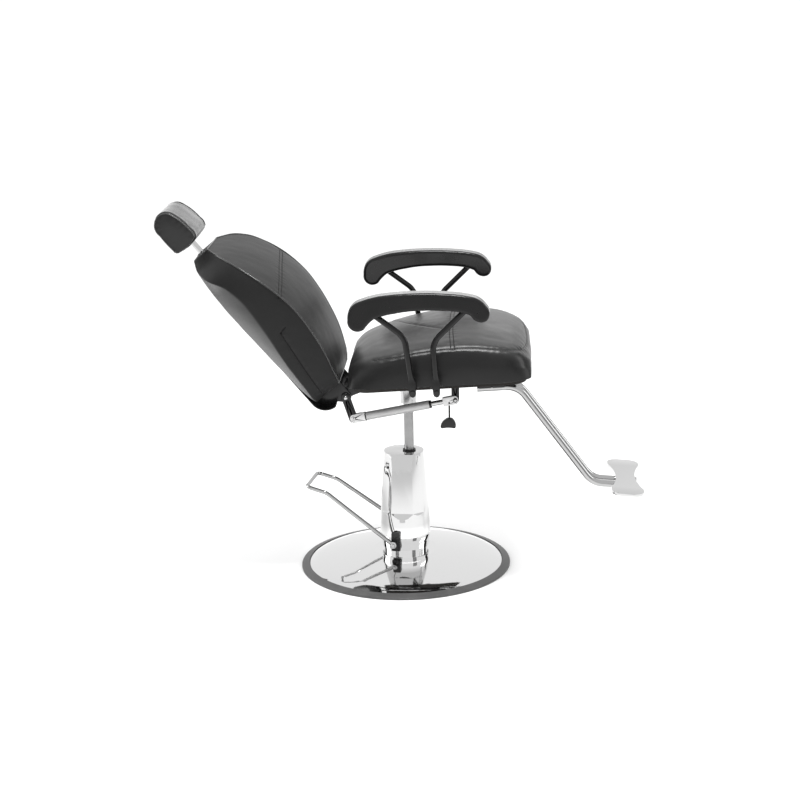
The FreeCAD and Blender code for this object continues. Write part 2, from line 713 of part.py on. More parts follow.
CHEEK_IN = "cover_wide_radius + bracket_gap"
CHEEK_OUT = "cover_wide_radius + bracket_gap + bracket_thick"
EYE_MIDDLE = "cover_wide_radius + bracket_gap + bracket_thick + side_gap + pedal_eye_long / 2"


def make_pedal_bracket():
    """Two cheeks that carry the pedal shaft, each with a lug that seats on the collar under the cover's edge."""
    low = "-pedal_pivot_out - bracket_wide * 0.27"
    high = "-pedal_pivot_out + bracket_wide * 0.73"
    lug_in = "collar_radius - 6"
    cheeks = []
    for name, side in (("right", 1), ("left", -1)):
        cheek = plate("cheek_" + name, [
            (low, "bracket_low"),
            (high, "bracket_low"),
            (high, "bracket_high - 5"),
            (f"{high} - 5", "bracket_high", "5"),
            (f"{low} + 5", "bracket_high"),
            (low, "bracket_high - 5", "5"),
        ], "bracket_thick", [("-pedal_pivot_out", "pedal_pivot_high", "shaft_radius + running_fit")],
            lift=f"{side} * ({CHEEK_IN} + bracket_thick / 2)")
        lug = plate("cheek_lug_" + name, [
            (f"{low} + 2", "bracket_low - 3"),
            (f"{high} - 2", "bracket_low - 3"),
            (f"{high} - 2", "collar_top - 1"),
            (f"{low} + 2", "collar_top - 1"),
        ], f"{CHEEK_IN} + 2 - ({lug_in})", lift=f"{side} * ({CHEEK_IN} + 2 + {lug_in}) / 2")
        subparts.pop("cheek_" + name)
        subparts.pop("cheek_lug_" + name)
        clear = cylinder("cheek_clear_" + name, "collar_radius", "collar_top")
        whole = fuse("cheek_whole_" + name, in_pedal(cheek), in_pedal(lug))
        cheeks.append(cut("cheek_cut_" + name, whole, clear))
    group("pedal_bracket", cheeks)


def rounded_path(points, radii):
    """Wire of straight runs joined by tangent arcs, in space."""
    edges = []
    start = points[0]
    for i in range(1, len(points) - 1):
        a = (points[i - 1] - points[i]).normalize()
        b = (points[i + 1] - points[i]).normalize()
        half = a.getAngle(b) / 2
        trim = radii[i - 1] / math.tan(half)
        inner = points[i] + (a + b).normalize() * (radii[i - 1] / math.sin(half) - radii[i - 1])
        edges.append(Part.LineSegment(start, points[i] + a * trim).toShape())
        edges.append(Part.Arc(points[i] + a * trim, inner, points[i] + b * trim).toShape())
        start = points[i] + b * trim
    edges.append(Part.LineSegment(start, points[-1]).toShape())
    return Part.Wire(edges)


def make_pedal():
    """Bent rod loop with an eye at each end, on the cross shaft."""
    eye_y = val(EYE_MIDDLE) + 1.5
    out_y = val("pedal_wide_out")
    spots = []
    for side in (-1, 1):
        run = [
            Vector(-val("pedal_pivot_out") - 4, side * eye_y, val("pedal_pivot_high") + 3),
            Vector(-val("pedal_knee_out"), side * out_y, val("pedal_knee_high")),
            Vector(-val("pedal_tread_out"), side * out_y, val("pedal_tread_high")),
        ]
        spots += run if side < 0 else run[::-1]
    corner = val("pedal_bend")
    path = rounded_path(spots, [corner * 3, corner, corner, corner * 3])
    first = spots[1] - spots[0]
    section = Part.Wire(Part.makeCircle(val("pedal_rod"), spots[0], first))
    rod = shaped("pedal_rod_loop", path.makePipeShell([section], True, False))
    in_pedal(rod)
    pivot = ("-pedal_pivot_out", "pedal_pivot_high")
    parts = [rod]
    for name, side in (("right", 1), ("left", -1)):
        eye = plate("pedal_eye_" + name, [(*pivot, "pedal_eye")], "pedal_eye_long",
                    lift=f"{side} * ({EYE_MIDDLE})")
        subparts.pop("pedal_eye_" + name)
        parts.append(in_pedal(eye))
    shaft_long = f"2 * ({EYE_MIDDLE}) + pedal_eye_long + 6"
    shaft = in_pedal(plate("pedal_shaft", [(*pivot, "shaft_radius")], shaft_long))
    keep("pump_pedal", cut("pump_pedal", fuse("pedal_whole", *parts), shaft))
    tip = "-pedal_pivot_out - cam_reach"
    arm = plate("cam_arm_blank", [
        (tip, "pedal_pivot_high - cam_arm"),
        (pivot[0], "pedal_pivot_high - cam_arm"),
        (pivot[0], "pedal_pivot_high + cam_arm"),
        (tip, "pedal_pivot_high + cam_arm"),
    ], "cam_thick")
    boss = plate("cam_boss_blank", [(*pivot, "shaft_radius + 4")], "cam_thick")
    roller = plate("cam_roller_blank", [(tip, "pedal_pivot_high", "cam_roller")], "cam_thick")
    blanks = [in_pedal(piece) for piece in (arm, boss, roller)]
    for label in ("cam_arm_blank", "cam_boss_blank", "cam_roller_blank"):
        subparts.pop(label)
    keep("pedal_cam", cut("pedal_cam", fuse("cam_whole", *blanks), shaft))


def make_lift():
    hub_in = f"{HUB_LOW} + ram_seat"
    ram = cylinder("ram_rod", "ram_radius", f"{hub_in} - ram_low")
    keep("ram_rod", place(ram, "ram_offset", "0", "ram_low"))
    piston = spun("ram_piston", [
        ("0", "ram_low - piston_high"),
        ("piston_radius", "ram_low - piston_high"),
        ("piston_radius", "ram_low - piston_high * 0.65"),
        ("piston_radius - 2", "ram_low - piston_high * 0.65"),
        ("piston_radius - 2", "ram_low - piston_high * 0.35"),
        ("piston_radius", "ram_low - piston_high * 0.35"),
        ("piston_radius", "ram_low"),
        ("0", "ram_low"),
    ])
    place(piston, "ram_offset")


# Seat frame

BOARD_UNDER = "-board_thick"
BAR_UNDER = "-board_thick - crossbar_thick"
RAIL_UNDER = "-board_thick - crossbar_thick - rail_side"
PLATE_UNDER = "-board_thick - crossbar_thick - rail_side - plate_thick"
RAIL_MIDDLE = "hinge_side - rail_side / 2"


def make_hub():
    blank = cylinder("hub_blank", "hub_radius", "hub_drop")
    place(blank, "ram_offset", "0", HUB_LOW)
    above = box("hub_above", "400", "400", "400", "-200", "-200", "0")
    place(above, *with_y(seat_spot("-200", PLATE_UNDER), "-200"), "seat_tilt")
    bore = cylinder("hub_bore", "ram_radius + running_fit", "ram_seat + 1")
    place(bore, "ram_offset", "0", f"{HUB_LOW} - 1")
    keep("seat_hub", cut("seat_hub", blank, above, bore))


def with_y(spot, y):
    return spot[0], y, spot[1]


def make_seat_frame():
    rear = "ram_offset - plate_long / 2"
    mount = plate("seat_mount_plate", [
        (rear, "-plate_wide / 2"),
        (f"{rear} + plate_long", "-plate_wide / 2"),
        (f"{rear} + plate_long", "plate_wide / 2"),
        (rear, "plate_wide / 2"),
    ], "plate_thick", [(x, y, "mount_bolt + 0.2") for x, y in mount_bolt_spots()], "XY_Plane",
        f"{PLATE_UNDER} + plate_thick / 2")
    in_seat(mount)
    bolts = {"right": [], "left": []}
    for i, (x, y) in enumerate(mount_bolt_spots()):
        shank = cylinder(f"mount_shank_{i}", "mount_bolt", "plate_thick + rail_wall")
        head = cylinder(f"mount_head_{i}", "mount_bolt * 1.7", "mount_bolt * 1.3")
        place(shank, *with_y(seat_spot(x, PLATE_UNDER), y), "seat_tilt")
        place(head, *with_y(seat_spot(x, f"{PLATE_UNDER} - mount_bolt * 1.3"), y), "seat_tilt")
        bolts["left" if i % 2 else "right"].append(fuse(f"mount_bolt_{i}", shank, head))
    group("mount_bolts", bolts["right"] + bolts["left"])
    for name, side in (("right", -1), ("left", 1)):
        rail = plate("seat_rail_" + name, [
            (f"{side} * ({RAIL_MIDDLE}) - rail_side / 2", RAIL_UNDER),
            (f"{side} * ({RAIL_MIDDLE}) + rail_side / 2", RAIL_UNDER),
            (f"{side} * ({RAIL_MIDDLE}) + rail_side / 2", BAR_UNDER),
            (f"{side} * ({RAIL_MIDDLE}) - rail_side / 2", BAR_UNDER),
        ], "rail_front - rail_rear", (), "YZ_Plane", "(rail_front + rail_rear) / 2")
        hollow_rail(rail, side)
        keep("seat_rail_" + name, cut(f"seat_rail_{name}_drilled", in_seat(rail), *bolts[name]))
    for name in ("rear", "front"):
        spot = arm_bolt_along(name)
        bar_end = "arm_side - paddle_thick / 2"
        bar = plate("arm_crossbar_" + name, [
            (f"-({bar_end})", BAR_UNDER),
            (bar_end, BAR_UNDER),
            (bar_end, "tab_high"),
            (f"{bar_end} - crossbar_thick", "tab_high"),
            (f"{bar_end} - crossbar_thick", BOARD_UNDER),
            (f"-({bar_end}) + crossbar_thick", BOARD_UNDER),
            (f"-({bar_end}) + crossbar_thick", "tab_high"),
            (f"-({bar_end})", "tab_high"),
        ], "crossbar_wide", (), "YZ_Plane", spot)
        in_seat(bar)
    inset_rear = "seat_rear + board_inset"
    inset_front = "seat_front - board_inset"
    half = "seat_half - seat_draw - board_inset"
    board = board_plate(inset_rear, inset_front, half)
    in_seat(board)


def board_plate(rear, front, half):
    return plate("seat_board", [
        (f"{rear} + board_corner", f"-({half})", "board_corner"),
        (f"{front} - board_corner", f"-({half})"),
        (front, f"-({half}) + board_corner", "board_corner"),
        (front, f"{half} - board_corner"),
        (f"{front} - board_corner", half, "board_corner"),
        (f"{rear} + board_corner", half),
        (rear, f"{half} - board_corner", "board_corner"),
        (rear, f"-({half}) + board_corner"),
    ], "board_thick", (), "XY_Plane", f"{BOARD_UNDER} / 2")


def hollow_rail(body, side):
    """Square tube: the rail's inside is pocketed from end to end."""
    sketch = new_sketch(body, "YZ_Plane", "rail_rear - 1")
    inner = "rail_side / 2 - rail_wall"
    trace(sketch, [
        (f"{side} * ({RAIL_MIDDLE}) - ({inner})", f"{RAIL_UNDER} + rail_wall"),
        (f"{side} * ({RAIL_MIDDLE}) + ({inner})", f"{RAIL_UNDER} + rail_wall"),
        (f"{side} * ({RAIL_MIDDLE}) + ({inner})", f"{BAR_UNDER} - rail_wall"),
        (f"{side} * ({RAIL_MIDDLE}) - ({inner})", f"{BAR_UNDER} - rail_wall"),
    ])
    pocket = body.newObject("PartDesign::Pocket", body.Name + "_inside")
    pocket.Profile = sketch
    pocket.Type = "Length"
    pocket.Length = val("rail_front - rail_rear + 2")
    link(pocket, "Length", "rail_front - rail_rear + 2")
    pocket.Reversed = True


def mount_bolt_spots():
    """Through the plate into the rails, fore and aft of the hub."""
    reach = "plate_long / 2 - 18"
    return [(f"ram_offset + {fore} * ({reach})", f"{side} * ({RAIL_MIDDLE})")
            for fore in (-1, 1) for side in (-1, 1)]


def arm_bolt_along(name):
    """Arm bolt's place along the seat frame: the post's foot, up its lean."""
    foot = f"{name}_post_foot - arm_bolt_high * sin({name}_post_lean * 1deg)"
    rise = f"arm_bolt_high * cos({name}_post_lean * 1deg) - post_drop"
    return f"({foot}) * cos(seat_tilt * 1deg) + ({rise}) * sin(seat_tilt * 1deg)"


# Cushions

def closed_loft(sections):
    return Part.makeLoft(sections, True, False)


def face_wire(points):
    """Closed wire from (point, bulge point or None) pairs: a bulge makes the edge that leaves the point an arc."""
    edges = []
    for i, (spot, bulge) in enumerate(points):
        end = points[(i + 1) % len(points)][0]
        curve = Part.Arc(spot, bulge, end) if bulge else Part.LineSegment(spot, end)
        edges.append(curve.toShape())
    return Part.Wire(edges)


# Seat cushion sections: share of the length, of the half width, of the side's height, of the crown and of the top
# edge's half width
SEAT_FORM = [
    (0.0, 0.86, 0.29, 0.38, 0.47),
    (0.022, 0.90, 0.40, 0.58, 0.58),
    (0.065, 0.93, 0.50, 0.79, 0.68),
    (0.129, 0.955, 0.60, 1.0, 0.79),
    (0.217, 0.975, 0.71, 1.04, 0.89),
    (0.3375, 0.984, 0.86, 1.0, 0.934),
    (0.4625, 0.996, 0.95, 1.0, 0.949),
    (0.602, 1.0, 1.0, 1.0, 0.953),
    (0.708, 1.0, 0.961, 1.0, 0.953),
    (0.815, 0.996, 0.854, 0.96, 0.941),
    (0.879, 0.98, 0.728, 0.92, 0.914),
    (0.933, 0.949, 0.563, 0.88, 0.84),
    (0.973, 0.898, 0.40, 0.67, 0.67),
    (1.0, 0.813, 0.21, 0.5, 0.46),
]


def make_seat_cushion():
    length = val("seat_front - seat_rear")
    draw = val("seat_draw")
    sections = []
    for share, wide, tall, crown, tuck in SEAT_FORM:
        x = val("seat_rear") + share * length
        half = val("seat_half") * wide
        side = val("seat_shoulder") * tall
        top = side + val("seat_crown") * crown
        foot = half - draw
        brow = val("seat_half") * tuck
        span = math.hypot(foot - brow, side)
        full = 0.1 * span + 0.03 * (foot - brow)
        belly_y = (foot + brow) / 2 + full * side / span
        belly_z = side / 2 + full * (foot - brow) / span
        low = [Vector(x, s * foot, 0) for s in (-1, 1)]
        belly = [Vector(x, s * belly_y, belly_z) for s in (-1, 1)]
        edge = [Vector(x, s * brow, side) for s in (-1, 1)]
        sections.append(face_wire([
            (low[0], None),
            (low[1], belly[1]),
            (edge[1], Vector(x, 0, top)),
            (edge[0], belly[0]),
        ]))
    cushion = shaped("seat_cushion", closed_loft(sections))
    keep("seat_cushion", in_seat(cushion))


# Back cushion sections: share of the length, of the half width, of the depth to the front seam, of the depth to the
# side band's rear edge and of the crown
BACK_FORM = [
    (0.0, 0.559, 0.593, 0.067, 0.14),
    (0.024, 0.642, 0.647, 0.087, 0.19),
    (0.085, 0.751, 0.733, 0.14, 0.29),
    (0.166, 0.821, 0.833, 0.18, 0.48),
    (0.29, 0.886, 0.93, 0.233, 0.76),
    (0.41, 0.93, 0.987, 0.313, 0.95),
    (0.511, 0.965, 1.0, 0.373, 1.0),
    (0.594, 0.991, 0.97, 0.407, 0.95),
    (0.706, 1.0, 0.887, 0.413, 0.86),
    (0.799, 0.956, 0.78, 0.333, 0.67),
    (0.901, 0.83, 0.62, 0.12, 0.48),
    (0.957, 0.655, 0.487, 0.053, 0.29),
    (1.0, 0.371, 0.34, 0.02, 0.14),
]
REAR_SHARE = 0.72


def make_back_cushion():
    low = val("back_low")
    top = val("back_top")
    rear = val("back_rear")
    depth = val("back_front") - rear
    sections = []
    for share, wide, seam, band, crown in BACK_FORM:
        z = low + share * (top - low)
        half = val("back_half") * wide
        front = rear + depth * seam
        edge = rear + depth * band
        proud = front + val("back_crown") * crown
        inner = half * REAR_SHARE
        swell_x = (rear + edge) / 2 - 0.08 * (edge - rear)
        swell_y = (half + inner) / 2 + 0.03 * half
        pair = (-1, 1)
        back_line = [Vector(rear, s * inner, z) for s in pair]
        band_rear = [Vector(edge, s * half, z) for s in pair]
        band_front = [Vector(front, s * half * 0.985, z) for s in pair]
        swell = [Vector(swell_x, s * swell_y, z) for s in pair]
        puff = [Vector((edge + front) / 2, s * (half + 3), z) for s in pair]
        sections.append(face_wire([
            (back_line[0], None),
            (back_line[1], swell[1]),
            (band_rear[1], puff[1]),
            (band_front[1], Vector(proud, 0, z)),
            (band_front[0], puff[0]),
            (band_rear[0], swell[0]),
        ]))
    blank = in_back(shaped("back_cushion_blank", closed_loft(sections)))
    wide = cylinder("cushion_socket_room", "socket_radius + 0.1",
                    "socket_top - head_post_low + post_travel_down")
    place(wide, *with_y(back_spot("post_back", "head_post_low - post_travel_down"), "0"), "recline")
    slim = cylinder("cushion_post_room", "head_post + soft_gap", "back_top - socket_top + 20")
    place(slim, *with_y(back_spot("post_back", "socket_top - 1"), "0"), "recline")
    keep("back_cushion", cut("back_cushion", blank, wide, slim, subparts["back_plate"]))


# Headrest sections: share of the half width and of the full section
HEAD_FORM = ((-1.0, 0.90), (-0.94, 0.955), (-0.6, 0.99), (0.0, 1.0), (0.6, 0.99), (0.94, 0.955), (1.0, 0.90))


def make_headrest():
    low = val("head_low")
    high = val("head_high")
    thick = val("head_thick")
    front = val("head_front")
    middle = Vector(front - thick * 0.55, 0, low + high * 0.45)
    sections = []
    for share, size in HEAD_FORM:
        y = share * val("head_half")

        def spot(forward, up):
            point = Vector(front - thick * (1 - forward), 0, low + high * up)
            point = middle + (point - middle) * size
            point.y = y
            return point

        sections.append(face_wire([
            (spot(0.1, 0.03), spot(0.5, 0.0)),
            (spot(0.94, 0.06), spot(1.0, 0.16)),
            (spot(0.985, 0.28), spot(0.95, 0.55)),
            (spot(0.84, 0.80), spot(0.55, 0.985)),
            (spot(0.16, 0.92), spot(0.02, 0.80)),
            (spot(0.0, 0.62), spot(-0.01, 0.35)),
            (spot(0.02, 0.10), spot(0.04, 0.05)),
        ]))
    blank = in_back(shaped("headrest_blank", closed_loft(sections)))
    post_long = "head_low + head_post_in - head_post_low"
    post = cylinder("headrest_post", "head_post", post_long)
    place(post, *with_y(back_spot("post_back", "head_post_low"), "0"), "recline")
    keep("headrest_post", post)
    keep("headrest_cushion", cut("headrest_cushion", blank, post))


# Armrests and posts

def make_post(name, place_name, side):
    """Tube bent outwards to the armrest, its foot flattened to a paddle with a bolt hole."""
    label = f"arm_post_{name}_{place_name}"
    body = new_body(label)
    foot = new_sketch(body, "XZ_Plane")
    half = "paddle_wide / 2"
    neck = "post_radius * 0.9"
    trace(foot, [
        (f"-{half}", half),
        (half, half, f"{half} + 0.001"),
        (half, "paddle_long * 0.6"),
        (neck, "paddle_long"),
        (f"-{neck}", "paddle_long"),
        (f"-{half}", "paddle_long * 0.6"),
    ])
    ring(foot, "0", "arm_bolt_high", "arm_bolt + 0.2")
    pad(body, foot, "paddle_thick")
    path = spine(body, [
        ("0", "paddle_long * 0.8"),
        ("0", f"{name}_post_knee"),
        (f"{name}_post_reach", f"{name}_post_knee + {name}_post_climb"),
    ], "post_bend")
    pipe(body, path, "XY_Plane", "paddle_long * 0.8", ("0", "0"), ["post_radius"])
    place(body, f"{name}_post_foot", f"{side} * arm_side", POST_FOOT, f"{name}_post_lean")
    return keep(label, body)


def make_arm_bolt(name, side, index):
    """Bolt through a post's paddle and the crossbar's tab."""
    foot = (f"{name}_post_foot", POST_FOOT)
    x, z = turned(foot, f"{name}_post_lean", "0", "arm_bolt_high")
    face = f"{side} * (arm_side + paddle_thick / 2 + 2)"
    head = crosswise(f"arm_bolt_head_{index}", "arm_bolt * 1.7", "4", x, z, face)
    reach = "paddle_thick + crossbar_thick"
    shank = crosswise(f"arm_bolt_shank_{index}", "arm_bolt", reach, x, z,
                      f"{side} * (arm_side - crossbar_thick / 2)")
    return fuse(f"arm_bolt_{index}", head, shank)


# Armrest outline from its rear end over the top: shares of its length and height, every second one an arc's middle
ARM_FORM = [
    (-0.503, 0.008), (-0.499, 0.157), (-0.486, 0.293), (-0.456, 0.419), (-0.412, 0.497), (-0.343, 0.571),
    (-0.271, 0.620), (-0.133, 0.651), (0.003, 0.651), (0.116, 0.630), (0.218, 0.590), (0.315, 0.538),
    (0.392, 0.466), (0.442, 0.357), (0.475, 0.206), (0.493, 0.100), (0.497, -0.012), (0.480, -0.165),
    (0.438, -0.230), (0.391, -0.172), (0.363, -0.030), (0.312, 0.048), (0.251, 0.103), (0.133, 0.150),
    (0.008, 0.165), (-0.088, 0.157), (-0.168, 0.119), (-0.248, 0.071), (-0.317, -0.005), (-0.359, -0.135),
    (-0.390, -0.275), (-0.418, -0.322), (-0.447, -0.326), (-0.481, -0.261), (-0.502, -0.138), (-0.505, -0.063),
]
ARM_EDGE = ((-1.0, 0.0), (-1.0, 45.0), (-1.0, 90.0), (1.0, 90.0), (1.0, 45.0), (1.0, 0.0))


def make_arm_blank(label, side):
    """Armrest moulding: its outline set in by a quarter round towards each side face."""
    outline = [Vector(x * val("arm_long"), 0, z * val("arm_high")) for x, z in ARM_FORM]
    count = len(outline)
    inward = []
    for i in range(count):
        along = outline[(i + 1) % count] - outline[i - 1]
        inward.append(Vector(along.z, 0, -along.x).normalize())
    half = val("arm_wide / 2")
    round_off = val("arm_round")
    sections = []
    for way, turn in ARM_EDGE:
        y = way * (half - round_off * (1 - math.cos(math.radians(turn))))
        inset = round_off * (1 - math.sin(math.radians(turn)))
        spots = [spot + normal * inset + Vector(0, y, 0) for spot, normal in zip(outline, inward)]
        sections.append(face_wire([(spots[i], spots[i + 1]) for i in range(0, count, 2)]))
    blank = shaped(label, Part.makeLoft(sections, True, True))
    return place(blank, "arm_middle", f"{side} * arm_side", ARM_Z, "arm_tilt")


def make_arms():
    bolts = {"rear": [], "front": []}
    for place_name, side in (("right", -1), ("left", 1)):
        posts = [make_post(name, place_name, side) for name in ("rear", "front")]
        blank = make_arm_blank("arm_blank_" + place_name, side)
        keep("arm_pad_" + place_name, cut("arm_pad_" + place_name, blank, *posts))
        for name in bolts:
            bolts[name].append(make_arm_bolt(name, side, f"{name}_{place_name}"))
    group("arm_bolts", bolts["rear"] + bolts["front"])
    for name, pair in bolts.items():
        bar = subparts["arm_crossbar_" + name]
        keep("arm_crossbar_" + name, cut(f"arm_crossbar_{name}_drilled", bar, *pair))


# Footrest

def make_footrest():
    for name, side in (("right", -1), ("left", 1)):
        body = new_body("footrest_tube_" + name)
        path = spine(body, [
            ("foot_rear", "-foot_drop"),
            ("foot_knee", "-foot_drop"),
            ("foot_ankle", "-foot_ankle_drop"),
            ("foot_toe", "-foot_toe_drop"),
        ], "foot_bend")
        pipe(body, path, "YZ_Plane", "foot_rear", ("0", "-foot_drop"),
             ["foot_radius", "foot_radius - foot_wall"])
        keep("footrest_tube_" + name, in_seat(body, f"{side} * foot_side"))
    for name in ("rear", "front"):
        wide = "hinge_side"
        saddle = plate("clamp_blank_" + name, [
            (f"-{wide}", f"{RAIL_UNDER} - clamp_plate"),
            ("-clamp_wide", f"{RAIL_UNDER} - clamp_plate"),
            ("-clamp_wide", "-clamp_drop"),
            ("clamp_wide", "-clamp_drop"),
            ("clamp_wide", f"{RAIL_UNDER} - clamp_plate"),
            (wide, f"{RAIL_UNDER} - clamp_plate"),
            (wide, RAIL_UNDER),
            (f"-{wide}", RAIL_UNDER),
        ], "clamp_long", (), "YZ_Plane", f"clamp_{name}")
        grooves = []
        for hand, side in (("right", -1), ("left", 1)):
            label = f"clamp_groove_{name}_{hand}"
            groove = plate(label, [(f"{side} * foot_side", "-foot_drop", "foot_radius + 0.05")], "clamp_long + 2", (),
                           "YZ_Plane", f"clamp_{name}")
            subparts.pop(label)
            grooves.append(in_seat(groove))
        subparts.pop("clamp_blank_" + name)
        keep("footrest_clamp_" + name, cut("footrest_clamp_" + name, in_seat(saddle), *grooves))
    toe = "atan((foot_toe_drop - foot_ankle_drop) / (foot_toe - foot_ankle)) / 1deg"
    half = "foot_plate_half"
    start = "foot_plate_start"
    end = "foot_plate_start + foot_plate_long"
    tread = plate("footrest_plate", [
        (f"{start} + foot_corner", f"-{half}", "foot_corner"),
        (f"{end} - foot_corner", f"-{half}"),
        (end, f"-{half} + foot_corner", "foot_corner"),
        (end, f"-{half} + foot_corner * 1.6"),
        (end, f"{half} - foot_corner * 1.6", WAIST_FRONT),
        (end, f"{half} - foot_corner"),
        (f"{end} - foot_corner", half, "foot_corner"),
        (f"{start} + foot_corner", half),
        (start, f"{half} - foot_corner", "foot_corner"),
        (start, f"{half} - foot_corner * 1.6"),
        (start, f"-{half} + foot_corner * 1.6", WAIST_FRONT),
        (start, f"-{half} + foot_corner"),
    ], "foot_plate_thick", (), "XY_Plane", "foot_radius + foot_seat_gap + foot_plate_thick / 2")
    x, z = seat_spot("foot_ankle", "-foot_ankle_drop")
    place(tread, x, "0", z, f"seat_tilt - {toe}")


WAIST_CHORD = "(2 * foot_plate_half - 3.2 * foot_corner)"
WAIST_FRONT = f"-({WAIST_CHORD} * {WAIST_CHORD} / (8 * foot_waist) + foot_waist / 2)"


# Hinge, lever and gas spring

BRACKET_MIDDLE = "hinge_side + hinge_plate / 2"
ARM_MIDDLE = "hinge_side + hinge_plate * 1.5 + side_gap"
LEVER_MIDDLE = "-(hinge_side + hinge_plate * 2.5 + side_gap)"
CURL_X = "(back_rear - back_plate_thick - shell_thick + shell_curl)"
CURL_IN = "(shell_curl - shell_thick - 0.2)"


def make_hinge():
    rise = seat_spot("rail_rear", BAR_UNDER)
    fore = seat_spot("rail_rear + 60", BAR_UNDER)
    for name, side in (("right", -1), ("left", 1)):
        bracket = plate("hinge_bracket_" + name, [
            ("-hinge_boss", "0"),
            ("hinge_boss", "0", "hinge_boss + 0.001"),
            (f"{fore[0]} - hinge_x", f"{seat_spot('rail_rear + 60', RAIL_UNDER)[1]} - {HINGE_Z}"),
            (f"{fore[0]} - hinge_x", f"{fore[1]} - {HINGE_Z}"),
            (f"{rise[0]} - hinge_x", f"{rise[1]} - {HINGE_Z}"),
        ], "hinge_plate", [("0", "0", "hinge_pin")])
        place(bracket, "hinge_x", f"{side} * ({BRACKET_MIDDLE})", HINGE_Z)
        arm = plate("hinge_arm_" + name, [
            ("-hinge_boss * 0.8", "-hinge_boss * 0.6"),
            ("hinge_boss", "0", "hinge_boss"),
            ("hinge_boss", "arm_up"),
            (f"{CURL_X} - sqrt({CURL_IN}^2 - (back_plate_low - arm_up)^2)", "arm_up"),
            (CURL_X, f"back_plate_low - {CURL_IN}", CURL_IN),
        ], "hinge_plate", [("0", "0", "hinge_pin + running_fit")])
        in_back(arm, f"{side} * ({ARM_MIDDLE})")
    lever = plate("recline_lever", [
        ("-lever_half", "-lever_long"),
        ("lever_half", "-lever_long", "lever_half + 0.001"),
        ("lever_half", "0"),
        ("-lever_half", "0", "lever_half + 0.001"),
    ], "hinge_plate", [("0", "0", "hinge_pin + running_fit"), ("0", "-lever_long", "spring_pin")])
    in_lever(lever, LEVER_MIDDLE)
    pins = []
    for name, side in (("right", -1), ("left", 1)):
        outer = f"{side} * (hinge_side + hinge_plate * {3 if side < 0 else 2} + side_gap * 2)"
        inner = f"{side} * (hinge_side)"
        shank = crosswise("hinge_shank_" + name, "hinge_pin", f"abs({outer} - {inner})", "hinge_x", HINGE_Z,
                          f"({outer} + {inner}) / 2")
        head = crosswise("hinge_head_" + name, "hinge_pin * 1.5", "5", "hinge_x", HINGE_Z,
                         f"{outer} + {side} * 2.5")
        pins.append(fuse("hinge_bolt_" + name, shank, head))
    x, z = spring_spot("spring_long", "0")
    pins.append(spring_pin("front", x, z))
    group("pivot_pins", pins)
    rear = spring_pin("rear", *spring_spot("0", "0"))
    keep("spring_rear_pin", rear)


def spring_pin(name, x, z):
    """Headed pin through a clevis."""
    reach = "hinge_plate + 2 * (side_gap + clevis_cheek + side_gap)"
    shank = crosswise(f"spring_pin_{name}", "spring_pin", f"{reach} + 3", x, z, f"{LEVER_MIDDLE} + 1.5")
    head = crosswise(f"spring_pin_head_{name}", "spring_pin * 1.5", "3", x, z,
                     f"{LEVER_MIDDLE} - ({reach}) / 2 - 1.5")
    return fuse(f"spring_pin_{name}_whole", shank, head)


def make_spring():
    body = new_body("gas_cylinder")
    sketch = new_sketch(body, "XZ_Plane")
    trace(sketch, [
        ("spring_rear", "0"),
        ("spring_front", "0"),
        ("spring_front", "spring_radius"),
        ("spring_rear + 2", "spring_radius"),
        ("spring_rear", "spring_radius - 2", "2.1"),
    ])
    turn = body.newObject("PartDesign::Revolution", "gas_cylinder_turn")
    turn.Profile = sketch
    turn.ReferenceAxis = (sketch, ["H_Axis"])
    turn.Angle = 360
    bore = new_sketch(body, "YZ_Plane", "spring_rear + spring_plug")
    ring(bore, "0", "0", "spring_bore")
    pocket = body.newObject("PartDesign::Pocket", "gas_cylinder_bore")
    pocket.Profile = bore
    pocket.Type = "Length"
    pocket.Length = val("spring_front - spring_rear")
    link(pocket, "Length", "spring_front - spring_rear")
    pocket.Reversed = True
    keep("gas_cylinder", in_spring(body, LEVER_MIDDLE))
    gland = plate("gas_gland", [("0", "0", "spring_radius - 1")], "gland_thick", [("0", "0", "spring_bore")],
                  "YZ_Plane", "spring_front + gland_thick / 2")
    in_spring(gland, LEVER_MIDDLE)
    make_clevis("rear_clevis", "0", 1, "spring_rear")
    rod = plate("gas_rod", [("0", "0", "rod_radius")], "spring_long - clevis_throat - clevis_base - rod_inside", (),
                "YZ_Plane", "(spring_long - clevis_throat - clevis_base + rod_inside) / 2")
    in_spring(rod, LEVER_MIDDLE)
    make_clevis("front_clevis", "spring_long", -1, "spring_long - clevis_throat - clevis_base")


def make_clevis(label, pin, way, base):
    """Fork round a plate: two cheeks with a pin hole, joined by a solid end."""
    half = "clevis_half"
    throat = f"{pin} + {way} * clevis_throat"
    outer = "hinge_plate / 2 + side_gap + clevis_cheek"
    body = new_body(label)
    sketch = new_sketch(body, "XZ_Plane")
    corners = [
        (pin, half),
        (pin, f"-{half}", f"{way} * ({half} + 0.001)"),
        (base, f"-{half}"),
        (base, half),
    ]
    trace(sketch, corners)
    ring(sketch, pin, "0", "spring_pin + running_fit")
    if label == "front_clevis":
        ring(sketch, "spring_long - release_back", "-release_drop", "release_pin")
    pad(body, sketch, f"2 * ({outer})")
    slot = new_sketch(body, "XY_Plane", f"-{half} - 1")
    gap = "hinge_plate / 2 + side_gap"
    tip = f"{pin} - {way} * ({half} + 2)"
    trace(slot, [(tip, f"-({gap})"), (throat, f"-({gap})"), (throat, gap), (tip, gap)])
    pocket = body.newObject("PartDesign::Pocket", body.Name + "_slot")
    pocket.Profile = slot
    pocket.Type = "Length"
    pocket.Length = val(f"2 * {half} + 2")
    link(pocket, "Length", f"2 * {half} + 2")
    pocket.Reversed = True
    keep(label, in_spring(body, LEVER_MIDDLE))


